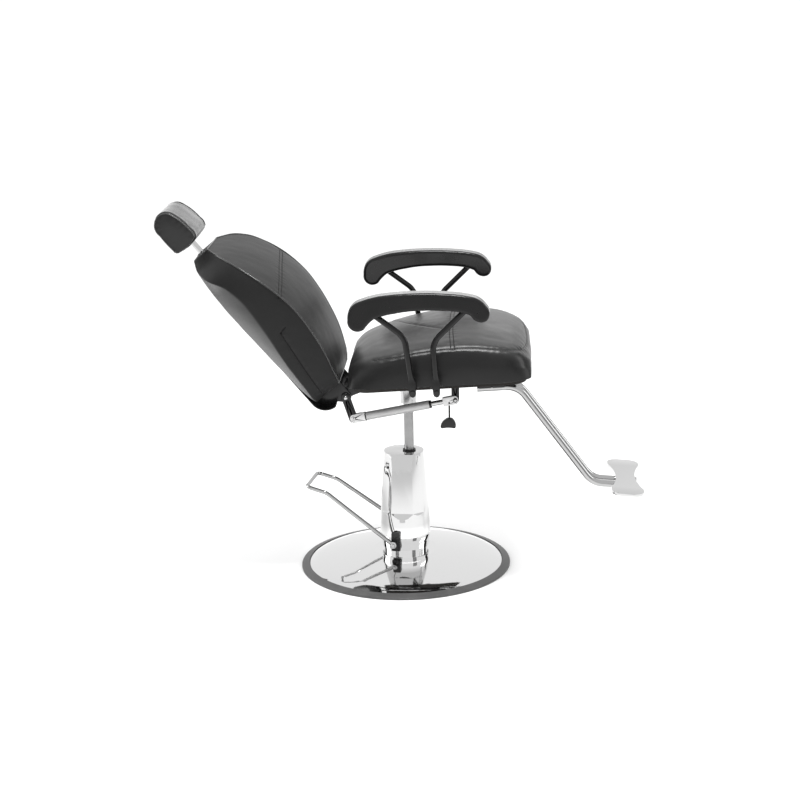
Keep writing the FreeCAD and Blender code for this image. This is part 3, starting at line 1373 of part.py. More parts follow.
def make_spring_bracket():
    """Plate that carries the gas spring's front pin, with a spacer block on the rail."""
    x, z = spring_spot("spring_long", "0")
    rise = f"seat_height + ({x}) * tan(seat_tilt * 1deg) + ({RAIL_UNDER}) / cos(seat_tilt * 1deg)"
    half = "front_bracket_half"
    top = f"{rise} + rail_side * 0.6 - ({z})"
    hanger = plate("spring_hanger", [
        (f"-{half}", "0"),
        (half, "0", f"{half} + 0.001"),
        (half, top),
        (f"-{half}", top),
    ], "hinge_plate", [("0", "0", "spring_pin")])
    subparts.pop("spring_hanger")
    place(hanger, x, LEVER_MIDDLE, z)
    reach = f"-({LEVER_MIDDLE}) + hinge_plate / 2 - hinge_side"
    spacer = box("spring_spacer", f"2 * {half}", reach, "rail_side * 0.5")
    place(spacer, f"{x} - {half}", f"-hinge_side - ({reach})", f"{rise} + rail_side * 0.1")
    keep("spring_bracket", fuse("spring_bracket", hanger, spacer))


def make_release():
    """Thin lever with an eye, hung in the front clevis, and its flared knob."""
    x, z = spring_spot("spring_long - release_back", "-release_drop")
    eye = crosswise("release_eye_blank", "release_eye", "hinge_plate - 1", x, z, LEVER_MIDDLE)
    stem = cylinder("release_stem", "release_rod", "release_long")
    place(stem, x, LEVER_MIDDLE, f"{z} - release_long")
    pin = crosswise("release_pin_blank", "release_pin - running_fit", "hinge_plate + 2 * clevis_cheek",
                    x, z, LEVER_MIDDLE)
    keep("release_lever", fuse("release_lever", eye, stem, pin))
    wide = "knob_wide / 2"
    knob = knob_plate(wide)
    place(knob, x, LEVER_MIDDLE, z)


def knob_plate(wide):
    low = "-release_long - knob_high"
    return plate("release_knob", [
        (f"-{wide} - knob_back", f"{low} + knob_high * 0.2", "knob_high * 1.1"),
        (f"-{wide} * 0.72 - knob_back", low, f"{wide} * 0.33"),
        (f"{wide} * 0.72 - knob_back", low, "-knob_wide * 1.2"),
        (f"{wide} - knob_back", f"{low} + knob_high * 0.2", f"{wide} * 0.33"),
        ("release_rod * 2", "-release_long", "knob_high * 1.1"),
        ("-release_rod * 2", "-release_long"),
    ], "knob_thick")


# Back structure

def make_back_frame():
    rear = "back_rear - back_plate_thick"
    middle = "back_rear - back_plate_thick / 2"
    panel = plate("back_plate", [
        ("-back_plate_half", "back_plate_low"),
        ("back_plate_half", "back_plate_low"),
        ("back_plate_half", "back_plate_top"),
        ("-back_plate_half", "back_plate_top"),
    ], "back_plate_thick", (), "YZ_Plane", middle)
    in_back(panel)
    outer = f"{rear} - shell_thick"
    shell = plate("back_shell", [
        (rear, "shell_top"),
        (outer, "shell_top"),
        (outer, "back_plate_low"),
        (f"{outer} + shell_curl", "back_plate_low - shell_curl", "shell_curl"),
        (f"{outer} + shell_curl", "back_plate_low - shell_curl + shell_thick"),
        (rear, "back_plate_low", "-(shell_curl - shell_thick)"),
    ], "2 * shell_half")
    in_back(shell)
    socket_long = "socket_top - socket_low"
    outer_tube = cylinder("socket_tube", "socket_radius", socket_long)
    inner_tube = cylinder("socket_bore", "head_post + running_fit", f"{socket_long} + 2")
    place(outer_tube, *with_y(back_spot("post_back", "socket_low"), "0"), "recline")
    place(inner_tube, *with_y(back_spot("post_back", "socket_low - 1"), "0"), "recline")
    keep("headrest_socket", cut("headrest_socket", outer_tube, inner_tube))


def build():
    make_base()
    make_base_bolts()
    make_collar()
    make_cover()
    make_pump()
    make_pedal_bracket()
    make_pedal()
    make_lift()
    make_hub()
    make_seat_frame()
    make_seat_cushion()
    make_arms()
    make_footrest()
    make_hinge()
    make_spring()
    make_spring_bracket()
    make_release()
    make_back_frame()
    make_back_cushion()
    make_headrest()
    doc.recompute()


def check():
    """Stop before anything is written if an object failed or a sub-part isn't a valid solid."""
    for item in doc.Objects:
        if "Invalid" in item.State or "Error" in item.State:
            raise RuntimeError(f"{item.Label} failed: {item.State}")
    for label, item in subparts.items():
        if item.Shape.isNull() or not item.Shape.isValid() or not item.Shape.Solids:
            raise RuntimeError(f"{label} has no valid solid")


def write():
    os.makedirs("parts", exist_ok=True)
    for label, item in subparts.items():
        item.Shape.exportStep(f"parts/{label}.step")
        print(f"{label}: {len(item.Shape.Solids)} solid(s), {item.Shape.Volume / 1000:.1f} cm3")


build()
check()
write()
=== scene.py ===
"""Looks of a reclining salon chair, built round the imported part.

Metres, in the part's own frame: origin on the floor under the base, +X the chair's front, +Z up.
The cushions are sewn over much the same sections as the solids they stand for, puffed by a cloth run, and
dressed with seams, stitches, welts and piping. The metal keeps the part's own solids, or copies of them with
eased edges, a few of them reshaped by some millimetres.
"""

import math
from contextlib import contextmanager

import bmesh
import bpy
import numpy as np
from mathutils import Matrix, Vector, noise
from mathutils.bvhtree import BVHTree


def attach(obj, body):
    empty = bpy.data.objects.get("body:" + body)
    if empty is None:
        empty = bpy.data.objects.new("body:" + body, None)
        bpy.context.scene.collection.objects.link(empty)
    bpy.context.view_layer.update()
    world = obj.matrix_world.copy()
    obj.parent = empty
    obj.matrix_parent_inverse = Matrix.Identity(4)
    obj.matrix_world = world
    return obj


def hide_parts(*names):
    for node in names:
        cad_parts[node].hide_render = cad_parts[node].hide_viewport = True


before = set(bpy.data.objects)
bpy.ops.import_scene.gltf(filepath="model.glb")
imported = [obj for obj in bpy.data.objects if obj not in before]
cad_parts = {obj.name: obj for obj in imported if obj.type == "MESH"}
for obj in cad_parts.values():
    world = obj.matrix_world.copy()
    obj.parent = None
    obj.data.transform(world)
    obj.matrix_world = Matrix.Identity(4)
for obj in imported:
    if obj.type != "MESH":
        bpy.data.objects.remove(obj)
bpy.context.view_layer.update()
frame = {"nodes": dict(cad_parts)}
nodes = frame["nodes"]
scene = bpy.context.scene

MM = 0.001
SEAT_TILT = math.radians(3.05)
SEAT_RISE = 566.6
HINGE_X, HINGE_Z = -149.5, 499.5
BACK_LEAN = math.radians(39.5)


# Places on the chair, from millimetres in the seat's or the back's own frame

def seat_spot(u, y, w):
    x = u * math.cos(SEAT_TILT) - w * math.sin(SEAT_TILT)
    z = SEAT_RISE + u * math.sin(SEAT_TILT) + w * math.cos(SEAT_TILT)
    return Vector((x * MM, y * MM, z * MM))


def back_spot(b, y, a):
    x = HINGE_X + b * math.cos(BACK_LEAN) - a * math.sin(BACK_LEAN)
    z = HINGE_Z + b * math.sin(BACK_LEAN) + a * math.cos(BACK_LEAN)
    return Vector((x * MM, y * MM, z * MM))


# Shader kit

class Term:
    """A shader value: Python arithmetic on it adds Math nodes."""

    def __init__(self, paint, socket):
        self.paint = paint
        self.socket = socket

    def math(self, operation, a, b=0.0):
        return self.paint.node("ShaderNodeMath", {"operation": operation}, {0: a, 1: b})

    def __add__(self, other):
        return self.math("ADD", self, other)

    def __sub__(self, other):
        return self.math("SUBTRACT", self, other)

    def __rsub__(self, other):
        return self.math("SUBTRACT", other, self)

    def __mul__(self, other):
        return self.math("MULTIPLY", self, other)

    def __truediv__(self, other):
        return self.math("DIVIDE", self, other)

    def __rtruediv__(self, other):
        return self.math("DIVIDE", other, self)

    def __abs__(self):
        return self.math("ABSOLUTE", self)

    def clamped(self):
        return self.paint.node("ShaderNodeClamp", {}, {"Value": self})

    __radd__ = __add__
    __rmul__ = __mul__


class Paint:
    """One procedural material on a Principled shader."""

    def __init__(self, name, **constants):
        self.material = bpy.data.materials.new(name)
        self.material.use_nodes = True
        self.tree = self.material.node_tree
        self.tree.nodes.clear()
        self.shader = self.tree.nodes.new("ShaderNodeBsdfPrincipled")
        out = self.tree.nodes.new("ShaderNodeOutputMaterial")
        self.tree.links.new(self.shader.outputs["BSDF"], out.inputs["Surface"])
        for key, value in constants.items():
            self.set(key.replace("_", " "), value)
        self.where = self.node("ShaderNodeTexCoord", {}, {}, "Object")

    def feed(self, socket, value):
        if isinstance(value, Term):
            self.tree.links.new(value.socket, socket)
        else:
            socket.default_value = value

    def node(self, kind, settings, inputs, out=0):
        """Adds one node: its settings first, then its sockets' values or links."""
        made = self.tree.nodes.new(kind)
        for key, value in settings.items():
            setattr(made, key, value)
        for key, value in inputs.items():
            self.feed(made.inputs[key], value)
        return Term(self, made.outputs[out])

    def set(self, key, value):
        self.feed(self.shader.inputs[key], value)

    def finished(self, colour, rough, height, depth, strength):
        """The material, with its colour, its roughness and the relief of its surface."""
        self.set("Base Color", colour)
        self.set("Roughness", rough.clamped())
        relief = {"Height": height, "Distance": depth, "Strength": strength}
        self.set("Normal", self.node("ShaderNodeBump", {}, relief))
        return self.material

    def stretched(self, scale, turn=(0.0, 0.0, 0.0)):
        return self.node("ShaderNodeMapping", {}, {"Vector": self.where, "Scale": scale, "Rotation": turn})

    def noise(self, scale, detail=2.0, rough=0.5, where=None):
        return self.node("ShaderNodeTexNoise", {}, {"Vector": where or self.where, "Scale": scale,
                                                    "Detail": detail, "Roughness": rough})

    def cells(self, scale):
        return self.node("ShaderNodeTexVoronoi", {"feature": "SMOOTH_F1"},
                         {"Vector": self.where, "Scale": scale}, "Distance")

    def part(self, axis):
        return self.node("ShaderNodeSeparateXYZ", {}, {0: self.where}, axis)

    def mixed(self, factor, dark, light):
        return self.node("ShaderNodeMix", {"data_type": "RGBA"}, {0: factor, 6: dark, 7: light}, 2)

    def faded(self, value, low, high):
        """0 at low and 1 at high, straight between."""
        return self.node("ShaderNodeMapRange", {}, {"Value": value, "From Min": low, "From Max": high})

    def attribute(self, name):
        return self.node("ShaderNodeAttribute", {"attribute_name": name}, {}, "Fac")


def grey(level):
    return (level, level, level, 1.0)


# millimetres from a seam to its stitches
STITCH_GAP, EDGE_STITCH_GAP = 4.6, 4.2


# Finishes

def leatherette(name, dark, light, rough, index):
    """Black upholstery leatherette: pebbled grain, soft unevenness and, on a cushion, its sewn lines, with
    painted shade darkening their grooves and stitch rows.
    """
    paint = Paint(name, IOR=index)
    pebble = paint.cells(560.0)
    fine = paint.noise(1700.0)
    pores = paint.noise(420.0, 3.0)
    broad = paint.noise(11.0, 3.0)
    patch = paint.noise(46.0)
    twin_line = (1 - abs(abs(paint.attribute("twin")) - STITCH_GAP) / 1.3).clamped()
    fold_line = (1 - abs(paint.attribute("fold")) / 2.2).clamped()
    sewn = (twin_line * paint.attribute("twin_on") + fold_line * paint.attribute("fold_on")).clamped()
    tone = paint.mixed((broad * 0.6 + patch * 0.4).clamped(), grey(dark), grey(light))
    worn = paint.mixed((paint.faded(pores, 0.56, 0.74) * 0.35).clamped(), tone, grey(light * 1.7))
    # painted shade: the seams' grooves and stitch rows are drawn darker than the leather, down to a quarter
    # of its darkest grey
    return paint.finished(paint.mixed(sewn * 0.85, worn, grey(dark * 0.25)),
                          rough - 0.06 + broad * 0.08 + pores * 0.06 + sewn * 0.25,
                          pebble * 0.55 + fine * 0.18 + patch * 0.5 - sewn * 9.0, 0.00035, 0.55)


def satin_black(name, level, rough, coat=0.0, grain=900.0, depth=0.00012):
    """Powder-coated or moulded black: fine orange peel, faint dust and rubbed patches."""
    paint = Paint(name, IOR=1.38, Coat_Weight=coat, Coat_Roughness=0.12)
    peel = paint.noise(grain)
    cloud = paint.noise(28.0, 3.0)
    dust = paint.faded(paint.noise(240.0, 4.0), 0.58, 0.8)
    tone = paint.mixed(cloud, grey(level * 0.7), grey(level * 1.35))
    return paint.finished(paint.mixed((dust * 0.25).clamped(), tone, grey(level * 3.0)),
                          rough - 0.07 + cloud * 0.14 + dust * 0.1, peel, depth, 0.4)


# from the chair's middle to an arm pad's
ARM_REACH = 0.285


def arm_urethane():
    """Self-skinned urethane: glossy skin, fine leather print and a parting line down the middle."""
    paint = Paint("arm_urethane_skin", IOR=1.31)
    print_cells = paint.cells(430.0)
    cloud = paint.noise(22.0, 3.0)
    fine = paint.noise(1500.0)
    parting = (1 - abs(abs(paint.part("Y")) - ARM_REACH) / 0.0005).clamped()
    return paint.finished(paint.mixed(cloud, grey(0.004), grey(0.008)), 0.10 + cloud * 0.1 + fine * 0.04,
                          print_cells * 0.4 + fine * 0.2 + parting * 1.2, 0.00022, 0.4)


# heights over which the painted highlight on the cover's foot fades out
COVER_FOOT_HIGHLIGHT = (0.095, 0.125)


def chrome(name, level, rough, smear=0.05, foot=None):
    """Plated steel: wiping marks, a few hairline scratches and, where asked, a painted highlight that makes
    its foot brighter.
    """
    paint = Paint(name, Metallic=1.0)
    wipe = paint.noise(1.0, 4.0, where=paint.stretched((3.0, 3.0, 26.0), (0.2, 0.5, 0.0)))
    spots = paint.faded(paint.noise(90.0, 5.0, 0.65), 0.6, 0.78)
    scratches = paint.noise(1.0, 3.0, where=paint.stretched((40.0, 900.0, 900.0), (0.0, 0.3, 0.7)))
    hairs = paint.faded(scratches, 0.7, 0.76)
    plate = paint.mixed((wipe * 0.5 + spots * 0.5).clamped(), grey(level), grey(level * 0.93))
    # painted highlight: below these heights the plate's grey is raised to the foot's grey
    if foot:
        plate = paint.mixed(paint.faded(paint.part("Z"), *COVER_FOOT_HIGHLIGHT), grey(foot), plate)
    return paint.finished(plate, rough + wipe * smear + spots * 0.05 + hairs * 0.06,
                          hairs + wipe * 0.5, 0.00002, 0.3)


def plain_steel(name, level, rough, metallic=1.0, brushed=700.0):
    """Zinc-plated or painted steel: brushed lines and stains."""
    paint = Paint(name, Metallic=metallic, Specular_IOR_Level=0.5)
    lines = paint.noise(1.0, where=paint.stretched((brushed, brushed * 0.12, brushed)))
    stain = paint.noise(35.0, 4.0)
    return paint.finished(paint.mixed(stain, grey(level), grey(level * 0.74)),
                          rough - 0.08 + stain * 0.16 + lines * 0.08, lines, 0.00006, 0.35)


def board_wood():
    """Black-stained plywood: long grain and veneer pores."""
    paint = Paint("stained_plywood", IOR=1.35)
    grain = paint.noise(1.0, 5.0, 0.6, paint.stretched((14.0, 160.0, 160.0)))
    pores = paint.faded(paint.noise(1.0, where=paint.stretched((60.0, 1400.0, 1400.0))), 0.62, 0.7)
    tone = paint.mixed(grain, (0.010, 0.0095, 0.009, 1.0), (0.024, 0.021, 0.018, 1.0))
    return paint.finished(paint.mixed(pores * 0.6, tone, grey(0.004)), 0.62 + grain * 0.2,
                          grain * 0.5 - pores, 0.0002, 0.5)


def matte(name, dark, light, clouds, **constants):
    """Plain paint for the stage, uneven by a little."""
    paint = Paint(name, **constants)
    paint.set("Base Color", paint.mixed(paint.noise(clouds), grey(dark), grey(light)))
    return paint.material


# darkest and lightest grey, roughness, refraction
LEATHER = leatherette("black_leatherette", 0.004, 0.009, 0.31, 1.32)
BACK_LEATHER = leatherette("back_leatherette", 0.005, 0.010, 0.46, 1.3)
# the welts and piping are the cushions' black leather drawn about three times lighter: a painted highlight
# along them
HIGHLIT_WELT_LEATHER = leatherette("highlit_welt_leatherette", 0.014, 0.022, 0.2, 1.55)
ARM_SKIN = arm_urethane()
PLYWOOD = board_wood()
# grey, roughness, smear
# foot: the grey of the painted highlight on the cover's foot
COVER_CHROME = chrome("cover_chrome", 0.54, 0.035, foot=0.9)
DISC_CHROME = chrome("disc_chrome", 0.68, 0.03)
PLATE_CHROME = chrome("footrest_chrome", 0.52, 0.09)
TUBE_CHROME = chrome("tube_chrome", 0.38, 0.06, 0.06)
POST_CHROME = chrome("post_chrome", 0.5, 0.05)
# grey, roughness, coat, grain and its depth
THREAD = satin_black("black_thread", 0.012, 0.55, 0.0, 2400.0, 0.0002)
BLACK_STEEL = satin_black("black_enamel", 0.007, 0.2, 0.1)
POST_ENAMEL = satin_black("post_enamel", 0.002, 0.11, 0.0)
BLACK_PLASTIC = satin_black("black_plastic", 0.011, 0.42, 0.0, 1300.0, 0.0002)
EDGE_RUBBER = satin_black("edge_rubber", 0.075, 0.42, 0.0, 700.0, 0.0002)
# grey, roughness, share of metal, brushing
GREY_STEEL = plain_steel("grey_painted_steel", 0.50, 0.32, 0.3, 260.0)
RAM_STEEL = plain_steel("ground_ram_steel", 0.28, 0.18, 1.0, 400.0)
ZINC = plain_steel("zinc_steel", 0.55, 0.2)
CASTING = plain_steel("cast_iron_paint", 0.10, 0.55, 0.3, 180.0)
DULL_STEEL = plain_steel("dull_steel", 0.42, 0.36)

ARM_POSTS = "arm_post_front_left arm_post_front_right arm_post_rear_left arm_post_rear_right"
# black steel where no other finish is named
NODE_FINISH = dict.fromkeys(nodes, BLACK_STEEL)
for finish, labels in (
        (DISC_CHROME, "base_disc"),
        (COVER_CHROME, "pump_collar pump_cover"),
        (TUBE_CHROME, "pump_pedal footrest_tube_left footrest_tube_right"),
        (PLATE_CHROME, "footrest_plate"),
        (POST_CHROME, "headrest_post"),
        (EDGE_RUBBER, "base_edge_ring"),
        (DULL_STEEL, "base_stiffener ram_gland pedal_cam pump_plunger ram_piston headrest_socket"),
        (ZINC, "base_bolts pedal_shaft seat_hub mount_bolts spring_rear_pin rear_clevis gas_rod"
               " front_clevis"),
        (CASTING, "pump_housing"),
        (RAM_STEEL, "ram_rod"),
        (GREY_STEEL, "gas_cylinder"),
        (BLACK_PLASTIC, "ram_wiper back_shell gas_gland release_knob"),
        (POST_ENAMEL, ARM_POSTS),
        (PLYWOOD, "seat_board"),
        (LEATHER, "seat_cushion headrest_cushion"),
        (BACK_LEATHER, "back_cushion"),
        (ARM_SKIN, "arm_pad_left arm_pad_right")):
    NODE_FINISH.update(dict.fromkeys(labels.split(), finish))


def dress(item, material):
    item.data.materials.clear()
    item.data.materials.append(material)


for label, item in nodes.items():
    dress(item, NODE_FINISH[label])


# Mesh helpers

def added(name, data):
    item = bpy.data.objects.new(name, data)
    scene.collection.objects.link(item)
    return item


def new_piece(name, mesh, material):
    item = added(name, mesh)
    dress(item, material)
    return item


def settle(item, body, slot, *replaced):
    """Hands a finished piece over: what it moves with and what it stands for. The finish's slot is not used.
    """
    if replaced:
        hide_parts(*replaced)
    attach(item, body)


@contextmanager
def opened(mesh):
    """The mesh open for work on its vertices and faces, written back afterwards."""
    work = bmesh.new()
    work.from_mesh(mesh)
    yield work
    work.to_mesh(mesh)
    work.free()


def mesh_from(name, verts, faces):
    mesh = bpy.data.meshes.new(name)
    mesh.from_pydata([tuple(v) for v in verts], [], faces)
    with opened(mesh) as work:
        bmesh.ops.remove_doubles(work, verts=work.verts, dist=1e-6)
        bmesh.ops.recalc_face_normals(work, faces=work.faces)
    mesh.shade_smooth()
    return mesh


def ring(centre, side, other, radius, sides):
    """Points round a circle whose first two quarter points lie along side and other."""
    turns = [2 * math.pi * k / sides for k in range(sides)]
    return [centre + radius * (math.cos(turn) * side + math.sin(turn) * other) for turn in turns]


def wrapped(rows, sides, closed=False):
    """Quads between neighbouring rings of points; closed joins the last ring to the first."""
    faces = []
    for i in range(rows if closed else rows - 1):
        j = (i + 1) % rows
        for k in range(sides):
            m = (k + 1) % sides
            faces.append((i * sides + k, i * sides + m, j * sides + m, j * sides + k))
    return faces


def arc_points(start, middle, end, count):
    """count points from start, without end, along the arc or the straight run through middle."""
    start, middle, end = (np.array(p, float) for p in (start, middle, end))
    share = np.arange(count) / count
    a, b = middle - start, end - start
    turn = a[0] * b[1] - a[1] * b[0]
    if abs(turn) < 1e-9:
        return start + share[:, None] * b
    aa, bb = a @ a, b @ b
    centre = start + np.array([b[1] * aa - a[1] * bb, a[0] * bb - b[0] * aa]) / (2 * turn)
    first = math.atan2(*(start - centre)[::-1])
    past = (math.atan2(*(middle - centre)[::-1]) - first) % (2 * math.pi)
    last = (math.atan2(*(end - centre)[::-1]) - first) % (2 * math.pi)
    sweep = last if past < last else last - 2 * math.pi
    radius = np.linalg.norm(start - centre)
    angle = first + share * sweep
    return centre + radius * np.stack([np.cos(angle), np.sin(angle)], 1)


def eased(rows, spots):
    """Smooth values of a table's columns at the given places of its first column."""
    rows = np.array(rows, float)
    x, y = rows[:, 0], rows[:, 1:]
    slope = np.gradient(y, x, axis=0)
    i = np.clip(np.searchsorted(x, spots, "right") - 1, 0, len(x) - 2)
    h = (x[i + 1] - x[i])[:, None]
    t = ((spots - x[i]) / (x[i + 1] - x[i]))[:, None]
    return ((2 * t**3 - 3 * t**2 + 1) * y[i] + (t**3 - 2 * t**2 + t) * h * slope[i]
            + (3 * t**2 - 2 * t**3) * y[i + 1] + (t**3 - t**2) * h * slope[i + 1])


def end_weighted(count):
    """Shares from 0 to 1, closer together at both ends."""
    t = np.linspace(0, 1, count)
    return 0.45 * t + 0.55 * (0.5 - 0.5 * np.cos(math.pi * t))


def skin(loops, sides, puffs):
    """Vertices and quads over a row of loops. Each end is closed by a patch between the loop's four sides.

    Returns the numbers of the patches' own vertices too.
    """
    count, around = loops.shape[:2]
    verts = list(loops.reshape(-1, 3))
    faces = wrapped(count, around)
    wide, tall = sides[0], sides[1]
    caps = []
    for end, puff in ((0, puffs[0]), (count - 1, puffs[1])):
        base = end * around
        outward = loops[end].mean(0) - loops[1 if end == 0 else count - 2].mean(0)
        outward = outward / np.linalg.norm(outward) * puff
        ids = np.zeros((tall + 1, wide + 1), int)
        ids[0] = base + np.arange(wide + 1)
        ids[tall] = base + 2 * wide + tall - np.arange(wide + 1)
        ids[:, wide] = base + wide + np.arange(tall + 1)
        ids[:, 0] = base + (around - np.arange(tall + 1)) % around
        for r in range(1, tall):
            for c in range(1, wide):
                s, t = c / wide, r / tall
                rows = (1 - t) * verts[ids[0, c]] + t * verts[ids[tall, c]]
                columns = (1 - s) * verts[ids[r, 0]] + s * verts[ids[r, wide]]
                corners = ((1 - s) * (1 - t) * verts[ids[0, 0]] + s * (1 - t) * verts[ids[0, wide]]
                           + (1 - s) * t * verts[ids[tall, 0]] + s * t * verts[ids[tall, wide]])
                ids[r, c] = len(verts)
                caps.append(len(verts))
                swell = math.sin(math.pi * s) * math.sin(math.pi * t)
                verts.append(rows + columns - corners + outward * swell)
        for r in range(tall):
            for c in range(wide):
                faces.append((ids[r, c], ids[r, c + 1], ids[r + 1, c + 1], ids[r + 1, c]))
    return verts, faces, caps


def coords_of(mesh, kind="co"):
    """A row per vertex: its place, or its normal."""
    flat = np.empty(len(mesh.vertices) * 3)
    mesh.vertices.foreach_get(kind, flat)
    return flat.reshape(-1, 3)


def set_coords(mesh, spots):
    mesh.vertices.foreach_set("co", spots.ravel())
    mesh.update()


def cover_tree(mesh):
    spots = [tuple(v.co) for v in mesh.vertices]
    return BVHTree.FromPolygons(spots, [tuple(f.vertices) for f in mesh.polygons])


def cushion(name, make_loop, form, shares, sides, puffs, material):
    """A cover over the form's sections at these shares, with its loops and its end patches' vertices."""
    loops = np.array([make_loop(share, *row) for share, row in zip(shares, eased(form, shares))])
    verts, faces, caps = skin(loops, sides, puffs)
    return new_piece(name, mesh_from(name, verts, faces), material), loops, caps


def row_edges(count, around, rows):
    """Vertex pairs along these rows of a skin, from end to end."""
    return {(i * around + j, (i + 1) * around + j) for i in range(count - 1) for j in rows}


def loop_edges(around, starts):
    """Vertex pairs round the loops that start at these vertices."""
    return {tuple(sorted((s + j, s + (j + 1) % around))) for s in starts for j in range(around)}


def crease(mesh, edges, amount):
    """Keeps these edges crisp in the subdivision. edges is a set of sorted vertex pairs."""
    layer = mesh.attributes.new("crease_edge", "FLOAT", "EDGE")
    for edge in mesh.edges:
        if tuple(sorted(edge.vertices)) in edges:
            layer.data[edge.index].value = amount


def soften(item, spots, rounds):
    """Rolls a sewn corner over by easing these vertices towards their neighbours."""
    with opened(item.data) as work:
        work.verts.ensure_lookup_table()
        verts = [work.verts[i] for i in spots]
        for _ in range(rounds):
            bmesh.ops.smooth_vert(work, verts=verts, factor=0.5,
                                  use_axis_x=True, use_axis_y=True, use_axis_z=True)


def finer(item):
    """One subdivision, made part of the mesh."""
    step = item.modifiers.new("finer", "SUBSURF")
    step.levels = step.render_levels = 1
    bake(item)


def bake(item):
    """Makes the item's modifiers part of its mesh."""
    bpy.context.view_layer.update()
    made = bpy.data.meshes.new_from_object(item.evaluated_get(bpy.context.evaluated_depsgraph_get()))
    item.modifiers.clear()
    item.data = made
    made.shade_smooth()


COVER_CLOTH = {"quality": 4, "mass": 0.3, "tension_stiffness": 25.0, "compression_stiffness": 25.0,
               "shear_stiffness": 10.0, "bending_stiffness": 1.5, "use_pressure": True}
CLOTH_FRAMES = 20


def inflate(item, held, pressure, cap):
    """Cloth run: the cover swells under pressure, held where it is sewn down, and moves at most cap."""
    group = item.vertex_groups.new(name="held")
    group.add([int(i) for i in held], 1.0, "REPLACE")
    before = coords_of(item.data)
    cloth = item.modifiers.new("puff", "CLOTH")
    for key, value in COVER_CLOTH.items():
        setattr(cloth.settings, key, value)
    cloth.settings.uniform_pressure_force = pressure
    cloth.settings.effector_weights.gravity = 0.0
    cloth.settings.vertex_group_mass = "held"
    cloth.collision_settings.use_collision = False
    cloth.point_cache.frame_start = 1
    cloth.point_cache.frame_end = CLOTH_FRAMES
    for step in range(CLOTH_FRAMES):
        scene.frame_set(step + 1)
    swollen = item.evaluated_get(bpy.context.evaluated_depsgraph_get())
    move = coords_of(swollen.data) - before
    scene.frame_set(1)
    item.modifiers.remove(cloth)
    item.vertex_groups.clear()
    far = np.linalg.norm(move, axis=1)[:, None] + 1e-9
    set_coords(item.data, before + move * (cap * np.tanh(far / cap) / far))


# Seams

SEAM_STEP = 0.004
# how far past its ends and to its sides a seam works
SEAM_OVERRUN, SEAM_REACH = 0.002, 0.05
# a cover that faces this much away lies on the cushion's far side
FAR_SIDE = -0.9
# millimetres: how far a seam's lines are drawn, and the gathers beside it
SEWN_REACH = 20
PUCKER_DEPTH, PUCKER_WAVE, PUCKER_DRIFT, PUCKER_REACH = 0.55, 3.6, 17.0, 13.0


def through(points, step):
    """Points a step apart along a smooth line through the given ones."""
    points = np.array([tuple(p) for p in points])
    gaps = np.linalg.norm(np.diff(points, axis=0), axis=1)
    place = np.concatenate([[0], np.cumsum(gaps)])
    spots = np.linspace(0, place[-1], max(8, int(place[-1] / step)))
    return eased(np.column_stack([place, points]), spots)


def on_cover(tree, line, lift=0.0):
    """The line laid on the cover, with the cover's normals there."""
    found = [tree.find_nearest(Vector(p)) for p in line]
    spots = np.array([tuple(f[0] + f[1] * lift) for f in found])
    ways = np.array([tuple(f[1]) for f in found])
    return spots, ways


def along(line):
    return np.gradient(line, axis=0) / np.linalg.norm(np.gradient(line, axis=0), axis=1)[:, None]


def seam_field(spots, line, ways):
    """For each spot: millimetres from the line, signed, whether it lies beside it, and how far along."""
    best = np.full(len(spots), 1e9)
    nearest = np.zeros(len(spots), int)
    for i, p in enumerate(line):
        gap = ((spots - p) ** 2).sum(1)
        closer = gap < best
        best[closer] = gap[closer]
        nearest[closer] = i
    tangent = along(line)[nearest]
    offset = spots - line[nearest]
    run = (offset * tangent).sum(1)
    offset = offset - run[:, None] * tangent
    side = np.sign((np.cross(tangent, ways[nearest]) * offset).sum(1))
    gap = np.linalg.norm(offset, axis=1) * np.where(side == 0, 1, side)
    before = (nearest == 0) & (run < -SEAM_OVERRUN)
    after = (nearest == len(line) - 1) & (run > SEAM_OVERRUN)
    beside = ~(before | after) & (np.abs(gap) < SEAM_REACH)
    length = np.linalg.norm(np.diff(line, axis=0), axis=1).mean()
    return gap / MM, beside, (nearest * length + run) / MM


def sew(item, twins, folds):
    """Draws the cover in along its seams and stores where they run for the leatherette's sewn lines and the
    painted shade along them.

    A twin seam is top-stitched on both sides, a fold is one tucked line. Returns the twin seams as laid.
    """
    mesh = item.data
    laid = []
    for name, lines, depth, reach in (("twin", twins, 1.3, 9.0), ("fold", folds, 1.7, 6.0)):
        spots = coords_of(mesh)
        ways = coords_of(mesh, "normal")
        gap_all = np.full(len(spots), 99.0)
        on_all = np.zeros(len(spots))
        tree = cover_tree(mesh)
        shift = np.zeros(len(spots))
        for line in lines:
            line, line_ways = on_cover(tree, through(line, SEAM_STEP))
            gap, beside, run = seam_field(spots, line, line_ways)
            beside &= (ways * line_ways[0]).sum(1) > FAR_SIDE
            closer = beside & (np.abs(gap) < np.abs(gap_all))
            gap_all[closer] = gap[closer]
            on_all[beside & (np.abs(gap) < SEWN_REACH)] = 1.0
            pull = np.exp(-(gap / reach) ** 2)
            wave = np.sin(run / PUCKER_WAVE + 2 * np.sin(run / PUCKER_DRIFT))
            pucker = PUCKER_DEPTH * wave * np.exp(-(gap / PUCKER_REACH) ** 2)
            shift += np.where(beside, -depth * pull + pucker * np.abs(np.tanh(gap / 5.0)), 0.0)
            if name == "twin":
                laid.append(line)
        set_coords(mesh, spots + ways * shift[:, None] * MM)
        for label, values in ((name, gap_all), (name + "_on", on_all)):
            layer = mesh.attributes.new(label, "FLOAT", "POINT")
            layer.data.foreach_set("value", values.astype(np.float32))
    return laid


